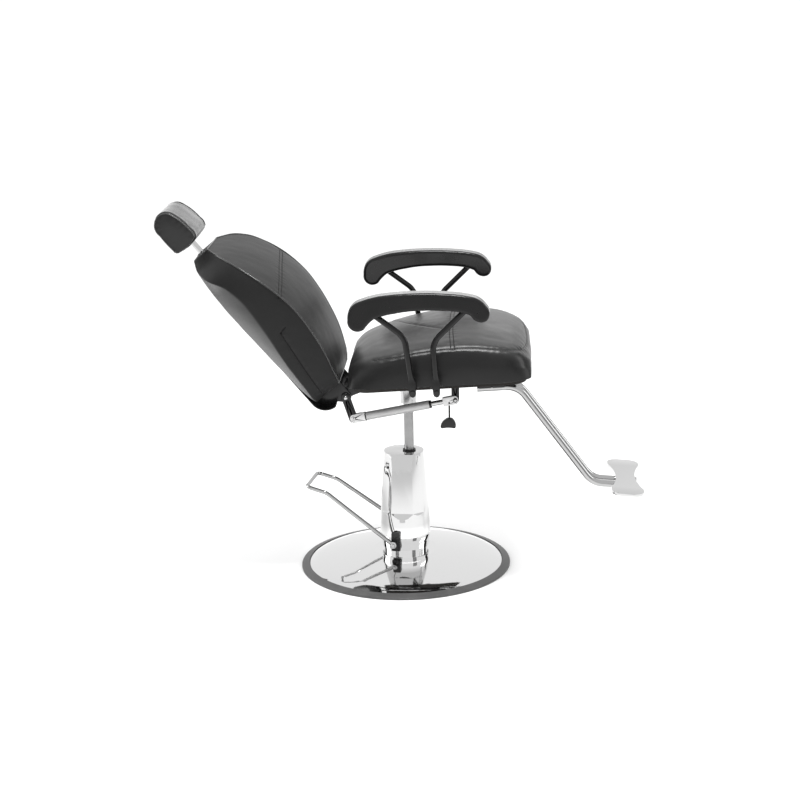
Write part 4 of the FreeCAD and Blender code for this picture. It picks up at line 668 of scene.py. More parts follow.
def rumple(item, size, depth, seed):
    """Slow unevenness of foam under a cover."""
    spots = coords_of(item.data)
    ways = coords_of(item.data, "normal")
    shift = np.array([noise.noise(Vector(p) / size + Vector((seed, 0.0, 0.0))) for p in spots])
    set_coords(item.data, spots + ways * (shift * depth)[:, None])


# a direction along which no tube starts, and the share of its radius that an open tube's ends have
OFF_LINE = (0.31, 0.77, 0.55)
TIP = 0.35


def tube(path, radius, closed=False, sides=8):
    """Vertices and quads of a round tube along a path; an open tube has rounded-off ends."""
    path = np.array(path, float)
    count = len(path)
    if closed:
        tangent = np.roll(path, -1, 0) - np.roll(path, 1, 0)
    else:
        tangent = np.gradient(path, axis=0)
    tangent /= np.linalg.norm(tangent, axis=1)[:, None]
    side = np.cross(tangent[0], OFF_LINE)
    verts = []
    for i in range(count):
        side = side - tangent[i] * (side @ tangent[i])
        side /= np.linalg.norm(side)
        other = np.cross(tangent[i], side)
        size = radius if closed or 0 < i < count - 1 else radius * TIP
        verts += ring(path[i], side, other, size, sides)
    faces = wrapped(count, sides, closed)
    if not closed:
        faces.append(tuple(range(sides)))
        faces.append(tuple((count - 1) * sides + k for k in range(sides)))
    return verts, faces


def tubes(name, paths, radius, material, closed=False, sides=8):
    """One piece of several tubes."""
    verts, faces = [], []
    for path in paths:
        more, quads = tube(path, radius, closed, sides)
        faces += [tuple(i + len(verts) for i in quad) for quad in quads]
        verts += more
    return new_piece(name, mesh_from(name, verts, faces), material)


# Stitches by Geometry Nodes

def stitch_tree():
    """Threads a stitch at every pitch along a line: a small rounded bar laid in the line's direction."""
    tree = bpy.data.node_groups.new("stitches_along_seam", "GeometryNodeTree")
    face = tree.interface
    face.new_socket("Geometry", in_out="INPUT", socket_type="NodeSocketGeometry")
    for name in ("Pitch", "Stitch Length", "Thread Radius"):
        face.new_socket(name, in_out="INPUT", socket_type="NodeSocketFloat")
    face.new_socket("Thread", in_out="INPUT", socket_type="NodeSocketMaterial")
    face.new_socket("Geometry", in_out="OUTPUT", socket_type="NodeSocketGeometry")
    add = tree.nodes.new
    given = add("NodeGroupInput")
    result = add("NodeGroupOutput")
    to_curve = add("GeometryNodeMeshToCurve")
    spaced = add("GeometryNodeResampleCurve")
    spaced.mode = "LENGTH"
    tangent = add("GeometryNodeInputTangent")
    align = add("FunctionNodeAlignRotationToVector")
    align.axis = "Z"
    bar = add("GeometryNodeMeshUVSphere")
    bar.inputs["Segments"].default_value = 6
    bar.inputs["Rings"].default_value = 4
    bar.inputs["Radius"].default_value = 1.0
    half = add("ShaderNodeMath")
    half.operation = "MULTIPLY"
    half.inputs[1].default_value = 0.5
    size = add("ShaderNodeCombineXYZ")
    shape = add("GeometryNodeTransform")
    spread = add("GeometryNodeInstanceOnPoints")
    real = add("GeometryNodeRealizeInstances")
    coloured = add("GeometryNodeSetMaterial")
    for source, sent, target, taken in (
            (given, "Geometry", to_curve, "Mesh"), (to_curve, "Curve", spaced, "Curve"),
            (given, "Pitch", spaced, "Length"), (given, "Stitch Length", half, 0),
            (given, "Thread Radius", size, "X"), (given, "Thread Radius", size, "Y"), (half, 0, size, "Z"),
            (bar, "Mesh", shape, "Geometry"), (size, 0, shape, "Scale"), (tangent, 0, align, "Vector"),
            (spaced, "Curve", spread, "Points"), (shape, "Geometry", spread, "Instance"),
            (align, "Rotation", spread, "Rotation"), (spread, "Instances", real, "Geometry"),
            (real, "Geometry", coloured, "Geometry"), (given, "Thread", coloured, "Material"),
            (coloured, "Geometry", result, "Geometry")):
        tree.links.new(source.outputs[sent], target.inputs[taken])
    return tree


STITCHES = stitch_tree()


def stitched(name, lines, body, pitch=0.0066, length=0.0046, radius=0.00055):
    """One piece of thread for all of a body's sewn lines."""
    verts, edges = [], []
    for line in lines:
        start = len(verts)
        verts += [tuple(p) for p in line]
        edges += [(start + i, start + i + 1) for i in range(len(line) - 1)]
    mesh = bpy.data.meshes.new(name)
    mesh.from_pydata(verts, edges, [])
    item = new_piece(name, mesh, THREAD)
    modifier = item.modifiers.new("stitches", "NODES")
    modifier.node_group = STITCHES
    values = {"Pitch": pitch, "Stitch Length": length, "Thread Radius": radius, "Thread": THREAD}
    for socket in STITCHES.interface.items_tree:
        if socket.in_out == "INPUT" and socket.name in values:
            modifier[socket.identifier] = values[socket.name]
    bake(item)
    settle(item, body, "upholstery")


def beside(item, line, gaps):
    """Lines on the cover at these distances from a seam."""
    tree = cover_tree(item.data)
    spots, ways = on_cover(tree, line)
    across = np.cross(along(spots), ways)
    return [on_cover(tree, spots + across * gap * MM, 0.0002)[0] for gap in gaps]


# Seat cushion

SEAT_REAR, SEAT_FRONT = -132.0, 348.0
SEAT_HALF, SEAT_SHOULDER, SEAT_CROWN, SEAT_DRAW = 256.0, 103.0, 24.0, 9.0
# share of the length, of the half width, of the side's height, of the crown and of the top edge's half width
SEAT_FORM = [
    (0.0, 0.86, 0.39, 0.26, 0.62),
    (0.022, 0.90, 0.49, 0.43, 0.70),
    (0.065, 0.93, 0.58, 0.66, 0.77),
    (0.129, 0.955, 0.67, 0.94, 0.84),
    (0.217, 0.975, 0.75, 1.02, 0.90),
    (0.3375, 0.984, 0.87, 1.0, 0.935),
    (0.4625, 0.996, 0.95, 1.0, 0.949),
    (0.602, 1.0, 1.0, 1.0, 0.953),
    (0.708, 1.0, 0.961, 1.0, 0.953),
    (0.815, 0.996, 0.885, 0.96, 0.945),
    (0.879, 0.98, 0.80, 0.91, 0.925),
    (0.933, 0.955, 0.70, 0.82, 0.885),
    (0.973, 0.915, 0.58, 0.62, 0.80),
    (1.0, 0.84, 0.40, 0.42, 0.66),
]
SEAT_SIDES = (56, 14, 56, 14)
# fullness of the side panel: share of its height and of its lean
SIDE_FULL, LEAN_FULL = 0.1, 0.02
# room left under the top for the cloth run to fill, and the side panel's share of it
SEAT_SLACK, SIDE_SLACK = 4.0, 0.6
# rows on each side of the top edge that are rolled over
SHOULDER_REACH = 6
# sewn lines in the seat's frame: along, across, up
SEAT_CROSS_HALF = [(150, -240, 103), (147, -183, 113), (144.5, -131, 120), (143, -60, 124), (143, 0, 126)]
SEAT_TUCK = [(143, -112, 121), (119.5, -89, 122), (103, -72, 121), (72, -37, 119), (28, 26, 112),
             (-16, 141, 92), (-36, 205, 75)]
SEAT_EDGE_HALF = [(-60, -203, 66), (0, -226, 84), (60, -234, 96), (120, -236, 103), (200, -235, 103),
                  (260, -230, 95), (294, -219, 84), (321, -184, 70), (332, -122, 62), (337, -65, 59),
                  (338, 0, 58)]


def seat_loop(share, wide, tall, crown, tuck):
    u = SEAT_REAR + share * (SEAT_FRONT - SEAT_REAR)
    foot = SEAT_HALF * wide - SEAT_DRAW
    brow = SEAT_HALF * tuck
    side = SEAT_SHOULDER * tall
    span = math.hypot(foot - brow, side)
    full = SIDE_FULL * span + LEAN_FULL * (foot - brow) - SEAT_SLACK * SIDE_SLACK
    belly = ((foot + brow) / 2 + full * side / span, side / 2 + full * (foot - brow) / span)
    top = side + SEAT_CROWN * crown - SEAT_SLACK
    low, edge = (foot, 0.0), (brow, side)

    def left(p):
        return -p[0], p[1]

    flat = np.concatenate([
        arc_points(left(low), (0.0, 0.0), low, SEAT_SIDES[0]),
        arc_points(low, belly, edge, SEAT_SIDES[1]),
        arc_points(edge, (0.0, top), left(edge), SEAT_SIDES[2]),
        arc_points(left(edge), left(belly), left(low), SEAT_SIDES[3]),
    ])
    return np.array([tuple(seat_spot(u, y, w)) for y, w in flat])


def both_sides(half):
    """A seam from its right half: the points up to the middle, then the same on the left."""
    return half + [(u, -y, w) for u, y, w in half[-2::-1]]


def make_seat():
    item, loops, _ = cushion("seat_upholstery", seat_loop, SEAT_FORM, end_weighted(78), SEAT_SIDES,
                             (0.004, 0.004), LEATHER)
    count, around = loops.shape[:2]
    low_rows = range(SEAT_SIDES[0] + 1)
    edge_rows = (SEAT_SIDES[0] + SEAT_SIDES[1], SEAT_SIDES[0] + SEAT_SIDES[1] + SEAT_SIDES[2])
    held = [i * around + j for i in range(count) for j in (*low_rows, *edge_rows)]
    inflate(item, held, pressure=4.0, cap=0.006)
    shoulders = [j + k for j in edge_rows for k in range(-SHOULDER_REACH, SHOULDER_REACH + 1)]
    soften(item, [i * around + j for i in range(count) for j in shoulders], rounds=26)
    crease(item.data, row_edges(count, around, (0, SEAT_SIDES[0])), amount=0.8)
    finer(item)
    rumple(item, size=0.09, depth=0.0016, seed=3.0)
    rumple(item, size=0.03, depth=0.0005, seed=7.0)
    cross_seam, tuck, edge_seam = [[seat_spot(*p) for p in line] for line in (
        both_sides(SEAT_CROSS_HALF), SEAT_TUCK, both_sides(SEAT_EDGE_HALF))]
    laid = sew(item, [cross_seam], [tuck, edge_seam])
    lines = beside(item, laid[0], (-STITCH_GAP, STITCH_GAP))
    lines += beside(item, through(edge_seam, SEAM_STEP), (EDGE_STITCH_GAP,))
    settle(item, "seat", "upholstery", "seat_cushion")
    stitched("seat_stitches", lines, "seat")


# Back cushion

BACK_LOW, BACK_TOP = 48.0, 541.0
BACK_HALF, BACK_REAR, BACK_FRONT, BACK_CROWN = 229.0, -65.0, 85.0, 21.0
# half widths at the rear and at the front seam, as shares of the widest
REAR_SHARE, FORE_SHARE = 0.75, 0.985
# clear of the back plate, swell beside it (back and out), and the side band's puff
PLATE_GAP, SWELL_BACK, SWELL_OUT, BAND_PUFF = 0.4, 0.04, 0.012, 3.0
# share of the length, of the half width, of the depth to the front seam and to the side band, of the crown
BACK_FORM = [
    (0.0, 0.559, 0.593, 0.067, 0.14),
    (0.024, 0.642, 0.647, 0.087, 0.19),
    (0.085, 0.751, 0.733, 0.14, 0.29),
    (0.166, 0.821, 0.833, 0.18, 0.48),
    (0.29, 0.886, 0.93, 0.233, 0.76),
    (0.41, 0.93, 0.987, 0.313, 0.95),
    (0.511, 0.965, 1.0, 0.373, 1.0),
    (0.594, 0.991, 0.97, 0.407, 0.95),
    (0.706, 1.0, 0.887, 0.413, 0.86),
    (0.799, 0.956, 0.78, 0.333, 0.67),
    (0.901, 0.83, 0.62, 0.12, 0.48),
    (0.957, 0.655, 0.487, 0.053, 0.29),
    (1.0, 0.371, 0.34, 0.02, 0.14),
]
BACK_SWELL, BACK_BAND = 8, 14
BACK_SIDES = (48, BACK_SWELL + BACK_BAND, 48, BACK_SWELL + BACK_BAND)
# room left for the cloth run to fill, and the side band's share of it
BACK_SLACK, BAND_SLACK = 3.0, 0.5
# sewn lines in the back's frame: forward, across, up
BACK_CROSS_SEAM = [(81.8, -222, 333), (86.2, -186, 343), (90.8, -125, 357), (92.5, -52, 371), (89.3, 46, 383),
                   (82, 130, 389), (71, 214, 393)]
BACK_ZIP = [(17, -217, 260), (9, -212, 215), (0, -202, 168), (-10, -185, 115), (-20, -163, 70),
            (-24, -150, 56)]
BACK_ZIP_END = [(17, -217, 260), (24, -219, 261), (31, -221, 262), (38, -222, 263)]


def back_loop(share, wide, seam, band, crown):
    a = BACK_LOW + share * (BACK_TOP - BACK_LOW)
    half = BACK_HALF * wide
    depth = BACK_FRONT - BACK_REAR
    front = BACK_REAR + depth * seam
    edge = BACK_REAR + depth * band
    inner = half * REAR_SHARE
    rear = (BACK_REAR + PLATE_GAP, inner)
    swell = ((BACK_REAR + edge) / 2 - SWELL_BACK * (edge - BACK_REAR), (half + inner) / 2 + SWELL_OUT * half)
    brow = (edge, half)
    puff = ((edge + front) / 2, half + BAND_PUFF - BACK_SLACK * BAND_SLACK)
    fore = (front, half * FORE_SHARE)
    proud = front + BACK_CROWN * crown - BACK_SLACK

    def left(p):
        return p[0], -p[1]

    flat = np.concatenate([
        arc_points(left(rear), (rear[0], 0.0), rear, BACK_SIDES[0]),
        arc_points(rear, swell, brow, BACK_SWELL),
        arc_points(brow, puff, fore, BACK_BAND),
        arc_points(fore, (proud, 0.0), left(fore), BACK_SIDES[2]),
        arc_points(left(fore), left(puff), left(brow), BACK_BAND),
        arc_points(left(brow), left(swell), left(rear), BACK_SWELL),
    ])
    return np.array([tuple(back_spot(b, y, a)) for b, y in flat])


# the headrest post's place in the back's frame
POST_FORWARD = -51.5


def bored(item, radius, low, high):
    """Drills the headrest post's way down through the cushion."""
    start, end = back_spot(POST_FORWARD, 0, low), back_spot(POST_FORWARD, 0, high)
    way = (end - start).normalized()
    other = Vector((0.0, 1.0, 0.0))
    third = way.cross(other)
    sides = 32
    verts = [p for spot in (start, end) for p in ring(spot, other, third, radius * MM, sides)]
    faces = wrapped(2, sides) + [tuple(range(sides)), tuple(range(sides, 2 * sides))]
    tool = added("post_drill", mesh_from("post_drill", verts, faces))
    step = item.modifiers.new("post_way", "BOOLEAN")
    step.operation = "DIFFERENCE"
    step.solver = "EXACT"
    step.object = tool
    bake(item)
    bpy.data.objects.remove(tool)


def make_back():
    item, loops, caps = cushion("back_upholstery", back_loop, BACK_FORM, end_weighted(84), BACK_SIDES,
                                (0.003, 0.001), BACK_LEATHER)
    count, around = loops.shape[:2]
    brow = BACK_SIDES[0] + BACK_SWELL
    fore = BACK_SIDES[0] + BACK_SIDES[1]
    rows = (brow, fore, fore + BACK_SIDES[2], fore + BACK_SIDES[2] + BACK_BAND)
    held = [i * around + j for i in range(count) for j in (*range(BACK_SIDES[0] + 1), *rows)]
    held += [s + j for s in (0, (count - 1) * around) for j in range(around)] + caps
    inflate(item, held, pressure=4.0, cap=0.006)
    top_rows = range(count - 3, count)
    soften(item, [i * around + j for i in top_rows for j in range(BACK_SIDES[0] + 1, around)], rounds=4)
    crease(item.data, row_edges(count, around, rows) | loop_edges(around, (0,)), amount=0.75)
    finer(item)
    rumple(item, size=0.11, depth=0.0014, seed=8.0)
    rumple(item, size=0.034, depth=0.0005, seed=4.0)
    cross_seam = [back_spot(*p) for p in BACK_CROSS_SEAM]
    zips = [[back_spot(b, y * side, a) for b, y, a in line]
            for line in (BACK_ZIP, BACK_ZIP_END) for side in (1, -1)]
    laid = sew(item, [cross_seam], zips)
    lines = beside(item, laid[0], (-STITCH_GAP, STITCH_GAP))
    far = fore + BACK_SIDES[2]
    rim = np.concatenate([loops[:, fore], loops[-1, fore + 1:far],
                          loops[::-1, far], loops[0, far - 1:fore:-1]])
    welt = tubes("back_front_welt", [rim], 0.0021, HIGHLIT_WELT_LEATHER, closed=True)
    bored(item, radius=8.4, low=400, high=560)
    settle(item, "backrest", "upholstery", "back_cushion")
    settle(welt, "backrest", "upholstery")
    stitched("back_stitches", lines, "backrest")


# Headrest

HEAD_LOW, HEAD_HIGH, HEAD_THICK, HEAD_FRONT, HEAD_HALF = 578.5, 115.5, 75.0, -10.0, 93.0
HEAD_FORM = [(-1.0, 0.95), (-0.94, 0.985), (-0.6, 1.0), (0.0, 1.0), (0.6, 1.0), (0.94, 0.985), (1.0, 0.95)]
HEAD_SIDES = (16, 20, 16, 20)
# round the section, as shares of its depth and height: each arc's start, a point on it, and its steps
HEAD_ARCS = [
    ((0.2, 0.02), (0.55, 0.0), 16),
    ((0.94, 0.06), (1.0, 0.16), 6),
    ((0.985, 0.28), (0.95, 0.55), 14),
    ((0.84, 0.80), (0.55, 0.985), 16),
    ((0.16, 0.92), (0.02, 0.80), 8),
    ((0.0, 0.62), (-0.01, 0.38), 8),
    ((0.01, 0.15), (0.055, 0.045), 4),
]


def head_loop(share, size):
    middle = np.array([HEAD_FRONT - HEAD_THICK * 0.55, HEAD_LOW + HEAD_HIGH * 0.45])

    def spot(place):
        forward, up = place
        point = np.array([HEAD_FRONT - HEAD_THICK * (1 - forward), HEAD_LOW + HEAD_HIGH * up])
        return middle + (point - middle) * size

    ends = [start for start, _, _ in HEAD_ARCS[1:] + HEAD_ARCS[:1]]
    flat = np.concatenate([arc_points(spot(start), spot(past), spot(end), steps)
                           for (start, past, steps), end in zip(HEAD_ARCS, ends)])
    return np.array([tuple(back_spot(b, share * HEAD_HALF, a)) for b, a in flat])


def make_headrest():
    item, loops, _ = cushion("headrest_upholstery", head_loop, HEAD_FORM, np.linspace(-1, 1, 44), HEAD_SIDES,
                             (0.002, 0.002), LEATHER)
    count, around = loops.shape[:2]
    ends = [s + j for s in (0, (count - 1) * around) for j in range(around)]
    inflate(item, ends, pressure=3.0, cap=0.002)
    crease(item.data, loop_edges(around, (0, (count - 1) * around)), amount=0.8)
    finer(item)
    rumple(item, size=0.05, depth=0.0005, seed=5.0)
    sew(item, [], [[*loop[::3], loop[0]] for loop in (loops[2], loops[-3])])
    piping = tubes("headrest_piping", [loops[0], loops[-1]], 0.0017, HIGHLIT_WELT_LEATHER, closed=True)
    settle(item, "headrest", "upholstery", "headrest_cushion")
    settle(piping, "headrest", "upholstery")


# Arm pads

def merged_copy(label, name, material):
    """A copy of a solid whose faces share their corners."""
    mesh = nodes[label].data.copy()
    with opened(mesh) as work:
        bmesh.ops.remove_doubles(work, verts=work.verts, dist=2e-6)
    return new_piece(name, mesh, material)


def make_arm_pads():
    """The pads' own form on an even mesh, its edges rolled over as the moulding's are."""
    for hand in ("left", "right"):
        label = f"arm_pad_{hand}"
        item = merged_copy(label, f"arm_skin_{hand}", ARM_SKIN)
        even = item.modifiers.new("even", "REMESH")
        even.mode = "VOXEL"
        even.voxel_size = 0.0024
        soft = item.modifiers.new("soft", "SMOOTH")
        soft.factor = 0.5
        soft.iterations = 3
        bake(item)
        settle(item, "seat", "arm_urethane", label)


# Metal with its edges eased

# how high a post's foot is, and how far copies are drawn in or out from the solids
POST_FOOT, POST_SLIM = 0.03, 0.8
CROSSBAR_SLIM, CROSSBAR_LOW = 0.58, 0.72
KNOB_WIDE, KNOB_LOW = 1.16, 0.93
FORK_DEEP = 1.4
SKIRT_DROP = 0.014
# gas spring's two pins, x and z
REAR_PIN = (-0.13029, 0.44003)
FRONT_PIN = (0.14562, 0.49166)


def scaled(values, still, factor):
    return still + (values - still) * factor


def reshape(label, mesh):
    """Draws a copy in or out to the photo's form: post feet, crossbars, knob, forks and the cover's skirt."""
    spots = coords_of(mesh)
    x, z = spots[:, 0], spots[:, 2]
    middle, low, high = (x.min() + x.max()) / 2, z.min(), z.max()
    if label.startswith("arm_post"):
        foot = z < low + POST_FOOT
        x[foot] = scaled(x[foot], (x[foot].min() + x[foot].max()) / 2, POST_SLIM)
    elif label.startswith("arm_crossbar"):
        x[:] = scaled(x, middle, CROSSBAR_SLIM)
        z[:] = scaled(z, high, CROSSBAR_LOW)
    elif label == "release_knob":
        x[:] = scaled(x, middle, KNOB_WIDE)
        z[:] = scaled(z, high, KNOB_LOW)
    elif label.endswith("clevis"):
        way = np.array(FRONT_PIN) - np.array(REAR_PIN)
        way /= np.linalg.norm(way)
        more = ((z - REAR_PIN[1]) * way[0] - (x - REAR_PIN[0]) * way[1]) * (FORK_DEEP - 1)
        x -= way[1] * more
        z += way[0] * more
    elif label == "pump_cover":
        z[z < low + 0.002] -= SKIRT_DROP
    set_coords(mesh, spots)


def make_eased(label, body, slot, bevel):
    """The part's own form with its sharp edges rounded over."""
    item = merged_copy(label, label + "_eased", NODE_FINISH[label])
    reshape(label, item.data)
    step = item.modifiers.new("eased", "BEVEL")
    step.width = bevel
    step.segments = 3
    step.limit_method = "ANGLE"
    step.angle_limit = math.radians(38)
    step.use_clamp_overlap = True
    bake(item)
    item.data.set_sharp_from_angle(angle=math.radians(40))
    settle(item, body, slot, label)


# body, slot, width of the rounding, pieces
EASED = [
    ("seat", "black_steel", 0.0042, ARM_POSTS),
    ("seat", "chrome", 0.002, "footrest_plate"),
    ("backrest", "black_steel", 0.0012, "recline_lever hinge_arm_left hinge_arm_right"),
    ("seat", "black_steel", 0.0012, "hinge_bracket_left hinge_bracket_right"),
    ("release", "black_plastic", 0.002, "release_knob"),
    ("base", "black_steel", 0.0015, "pedal_bracket"),
    ("spring_rod", "fork_steel", 0.0008, "front_clevis"),
    ("spring_cylinder", "fork_steel", 0.0008, "rear_clevis"),
    ("base", "chrome", 0.0012, "pump_cover"),
    ("backrest", "black_plastic", 0.001, "back_shell"),
    ("seat", "black_steel", 0.001, "spring_bracket"),
    ("seat", "black_steel", 0.0015, "arm_crossbar_front arm_crossbar_rear"),
]


# Small hardware

PIN_FACE = -0.0905
# the split pin's two legs, millimetres from the rear pin: forward, out of its face, up
SPLIT_LEGS = [[(1, 0, 5), (-3, 0.6, -6), (-9.6, 1, -10.6), (-27.8, 1.2, -18.3)],
              [(2, 0, 5), (2, 0.6, -6), (1, 1, -12.5), (-2, 1.2, -30)]]


def make_split_pin():
    """Split pin through the end of the gas spring's rear pin, its legs spread."""
    x, z = REAR_PIN
    legs = [through([(x + i * MM, PIN_FACE - j * MM, z + k * MM) for i, j, k in leg], 0.001)
            for leg in SPLIT_LEGS]
    pin = tubes("rear_split_pin", legs, 0.0007, ZINC, sides=6)
    settle(pin, "backrest", "steel")


def turned_piece(name, centre, axis, profile, material, body, slot, sides):
    """Lathe work: (radius, along) pairs in millimetres, turned about an axis through centre."""
    axis = Vector(axis).normalized()
    side = axis.orthogonal().normalized()
    other = axis.cross(side)
    verts = []
    for radius, run in profile:
        verts += ring(Vector(centre) + axis * run * MM, side, other, radius * MM, sides)
    item = new_piece(name, mesh_from(name, verts, wrapped(len(profile), sides)), material)
    settle(item, body, slot)


def make_hinge_caps():
    """Domed rivet heads on the recline hinge's bolts."""
    dome = [(0.05, 2.6), (1.6, 2.5), (3.2, 2.1), (4.6, 1.3), (5.4, 0.4), (5.6, -0.2), (5.2, -0.4),
            (0.05, -0.4)]
    for hand, face in (("right", -0.0849), ("left", 0.0785)):
        turned_piece(f"hinge_rivet_{hand}", (HINGE_X * MM, face, HINGE_Z * MM),
                     (0, math.copysign(1, face), 0), dome, ZINC, "seat", "steel", 24)


def make_spring_cap():
    """Domed head on the gas spring's front pin."""
    x, z = FRONT_PIN
    near = [v.co.y for v in nodes["pivot_pins"].data.vertices if math.hypot(v.co.x - x, v.co.z - z) < 0.008]
    dome = [(0.05, 1.8), (1.6, 1.7), (3.0, 1.3), (3.9, 0.6), (4.1, 0.0), (4.0, -0.3), (0.05, -0.3)]
    turned_piece("front_pin_cap", (x, min(near), z), (0, -1, 0), dome, ZINC, "seat", "steel", 24)


def make_spring_neck():
    """Rubber collar between the rear clevis and the gas cylinder."""
    x, z = REAR_PIN
    slope = math.radians(10.6)
    way = (math.cos(slope), 0.0, math.sin(slope))
    past_pin, spring_y = 0.0325, -0.076
    start = (x + past_pin * way[0], spring_y, z + past_pin * way[2])
    collar = [(3.0, 0.0), (11.6, 0.0), (12.3, 0.5), (12.3, 3.0), (11.6, 3.5), (3.0, 3.5)]
    turned_piece("gas_cylinder_neck", start, way, collar, BLACK_PLASTIC, "spring_cylinder", "black_plastic",
                 28)


COVER_SPLIT = [(-46, -19, 284), (-40, -42, 262), (-38.5, -49, 240), (-38, -53, 200), (-37, -56, 158),
               (-31, -63, 123.5), (-25, -65, 104)]


def make_cover_split():
    """Joint line between the two halves of the pump cover, on both sides."""
    tree = cover_tree(nodes["pump_cover"].data)
    lines = []
    for side in (1, -1):
        line = through([(x * side * MM, y * side * MM, z * MM) for x, y, z in COVER_SPLIT], 0.003)
        lines.append(on_cover(tree, line)[0])
    item = tubes("cover_joint_line", lines, 0.0010, BLACK_PLASTIC, sides=6)
    settle(item, "base", "black_plastic")


def make_post_bezel():
    """Moulded bezel where the headrest post enters the back."""
    rise, sides = 539.5, 40
    profile = [(8.6, -6), (8.6, 2.2), (9.4, 3.4), (11.0, 3.8), (13.5, 3.0), (15.5, 1.2), (16.0, -1.0),
               (16.0, -6)]
    verts = []
    for radius, up in profile:
        for turn in (2 * math.pi * k / sides for k in range(sides)):
            forward = POST_FORWARD + radius * math.cos(turn)
            verts.append(back_spot(forward, radius * math.sin(turn), rise + up))
    mesh = mesh_from("headrest_post_bezel", verts, wrapped(len(profile), sides, True))
    item = new_piece("headrest_post_bezel", mesh, BLACK_PLASTIC)
    settle(item, "backrest", "black_plastic")


# Stage

def make_stage():
    pale = matte("pale_floor", 0.93, 0.96, 3.0, Specular_IOR_Level=0.1, Roughness=0.75)
    far, below = 40.0, -0.0004
    corners = [(-far, -far, below), (far, -far, below), (far, far, below), (-far, far, below)]
    floor = sheet("floor", corners, pale)
    world = bpy.data.worlds.new("studio")
    scene.world = world
    world.use_nodes = True
    sky = world.node_tree.nodes["Background"]
    sky.inputs["Color"].default_value = (1.0, 1.0, 1.0, 1.0)
    sky.inputs["Strength"].default_value = 1.1
    scene.view_settings.view_transform = "Standard"
    add_softbox("top_softbox", (0.2, -0.5, 2.9), (0.1, 0.0, 0.6), 0.8, 65.0)
    add_softbox("left_softbox", (-3.3, 0.6, 1.3), (-0.3, 0.0, 0.7), 2.0, 34.0)
    add_softbox("right_softbox", (3.4, 0.5, 1.9), (0.2, 0.0, 0.6), 1.8, 22.0)
    black = matte("black_card", 0.004, 0.006, 4.0, Roughness=0.9)
    add_flag("flag_far_left", (-3.3, 2.5), 1.8, 3.2, 0.2, black)
    add_flag("flag_far_right", (3.3, 2.5), 1.8, 3.2, 0.2, black)
    dim = matte("grey_card", 0.2, 0.24, 4.0, Roughness=0.9)
    add_flag("flag_near_left", (-3.2, -3.4), 1.6, 2.4, 0.0, dim)
    add_flag("flag_near_right", (3.4, -3.2), 1.6, 2.4, 0.0, dim)


def sheet(name, corners, material):
    """Flat piece of the stage between four corners."""
    mesh = bpy.data.meshes.new(name)
    mesh.from_pydata(corners, [], [(0, 1, 2, 3)])
    return new_piece(name, mesh, material)


def add_flag(name, place, wide, tall, low, material):
    """Upright card that only shiny surfaces see, facing the chair."""
    way = Vector((-place[1], place[0], 0.0)).normalized() * wide / 2
    foot = Vector((place[0], place[1], low))
    top = foot + Vector((0.0, 0.0, tall))
    card = sheet(name, [tuple(p) for p in (foot - way, foot + way, top + way, top - way)], material)
    card.visible_camera = card.visible_diffuse = card.visible_shadow = False


HEADREST = ("headrest_upholstery", "headrest_piping")
SEAT = ("seat_upholstery",)
BACK = ("back_upholstery",)
ARMS = ("arm_skin_left", "arm_skin_right")
FAR_ARM = ("arm_skin_left",)
# name, place, target, width, power, height, pieces that it lights
ACCENTS = [
    ("arm_strip", (0.1, 1.75, 1.27), (0.1, 0.0, 0.85), 2.2, 3.4, 0.3, ARMS),
    ("far_arm_softbox", (0.1, -1.7, 0.5), (0.1, 0.28, 0.9), 1.2, 3.0, 0.5, FAR_ARM),
    ("head_end_softbox", (-0.8, -1.9, 0.45), (-0.75, -0.1, 1.0), 1.2, 5.0, 0.8, HEADREST),
    ("head_softbox", (-0.75, 1.6, 1.05), (-0.7, 0.0, 0.98), 1.4, 5.5, 0.8, HEADREST),
    ("shoulder_softbox", (0.1, -0.1, 2.5), (0.1, -0.12, 0.7), 1.8, 75.0, 1.0, SEAT),
    ("seat_softbox", (0.1, 3.4, 1.9), (0.1, 0.0, 0.7), 2.2, 5.0, 0.6, SEAT),
    ("floor_softbox", (-1.05, 0.05, 0.03), (-1.05, 0.06, 1.0), 0.9, 10.0, 0.9, BACK),
]


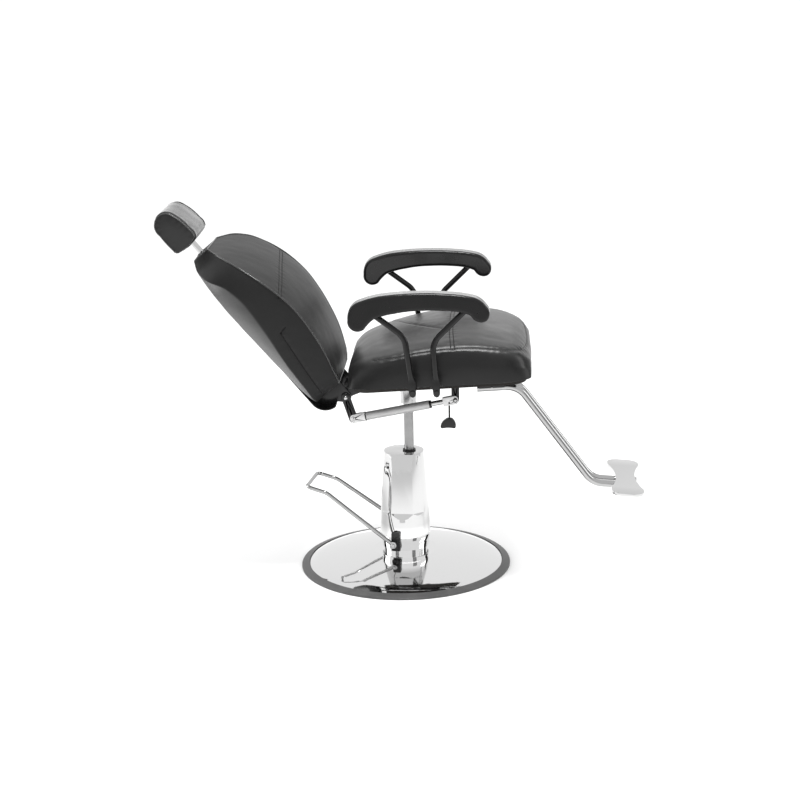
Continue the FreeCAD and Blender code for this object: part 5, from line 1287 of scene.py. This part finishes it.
def add_accents():
    """Small softboxes that each light one part of the chair only."""
    for name, place, target, wide, power, tall, lit in ACCENTS:
        lamp = add_softbox(name, place, target, wide, power, tall)
        group = bpy.data.collections.new(name + "_lights")
        for label in lit:
            group.objects.link(bpy.data.objects[label])
        lamp.light_linking.receiver_collection = group


def add_softbox(name, place, target, size, power, tall=None):
    light = bpy.data.lights.new(name, "AREA")
    light.shape = "RECTANGLE"
    light.size = size
    light.size_y = tall or size
    light.energy = power
    item = added(name, light)
    item.location = place
    item.visible_camera = False
    item.rotation_euler = (Vector(target) - Vector(place)).to_track_quat("-Z", "Y").to_euler()
    return item


CAMERA_TURN, CAMERA_PITCH, CAMERA_ROLL = math.radians(3.36), math.radians(15.48), math.radians(-1.17)
CAMERA_TARGET = Vector((-0.00776, 0.0, 0.46983))
CAMERA_DISTANCE = 5.13952
CAMERA_LENS = 84.72


def make_camera():
    level = Vector((math.cos(CAMERA_TURN), math.sin(CAMERA_TURN), 0.0))
    back = Vector((math.sin(CAMERA_TURN), -math.cos(CAMERA_TURN), 0.0))
    away = back * math.cos(CAMERA_PITCH) + Vector((0.0, 0.0, math.sin(CAMERA_PITCH)))
    upright = level.cross(-away)
    right = math.cos(CAMERA_ROLL) * level + math.sin(CAMERA_ROLL) * upright
    up = -math.sin(CAMERA_ROLL) * level + math.cos(CAMERA_ROLL) * upright
    data = bpy.data.cameras.new("photo_camera")
    data.sensor_width = 36.0
    data.lens = CAMERA_LENS
    data.clip_end = 100.0
    camera = added("photo_camera", data)
    turn = Matrix((right, up, away)).transposed().to_4x4()
    camera.matrix_world = Matrix.Translation(CAMERA_TARGET + away * CAMERA_DISTANCE) @ turn
    scene.camera = camera


make_stage()
make_camera()
make_seat()
make_back()
make_headrest()
make_arm_pads()
for body, slot, bevel, labels in EASED:
    for label in labels.split():
        make_eased(label, body, slot, bevel)
make_split_pin()
make_hinge_caps()
make_spring_cap()
make_spring_neck()
make_cover_split()
make_post_bezel()
add_accents()

bpy.context.view_layer.update()
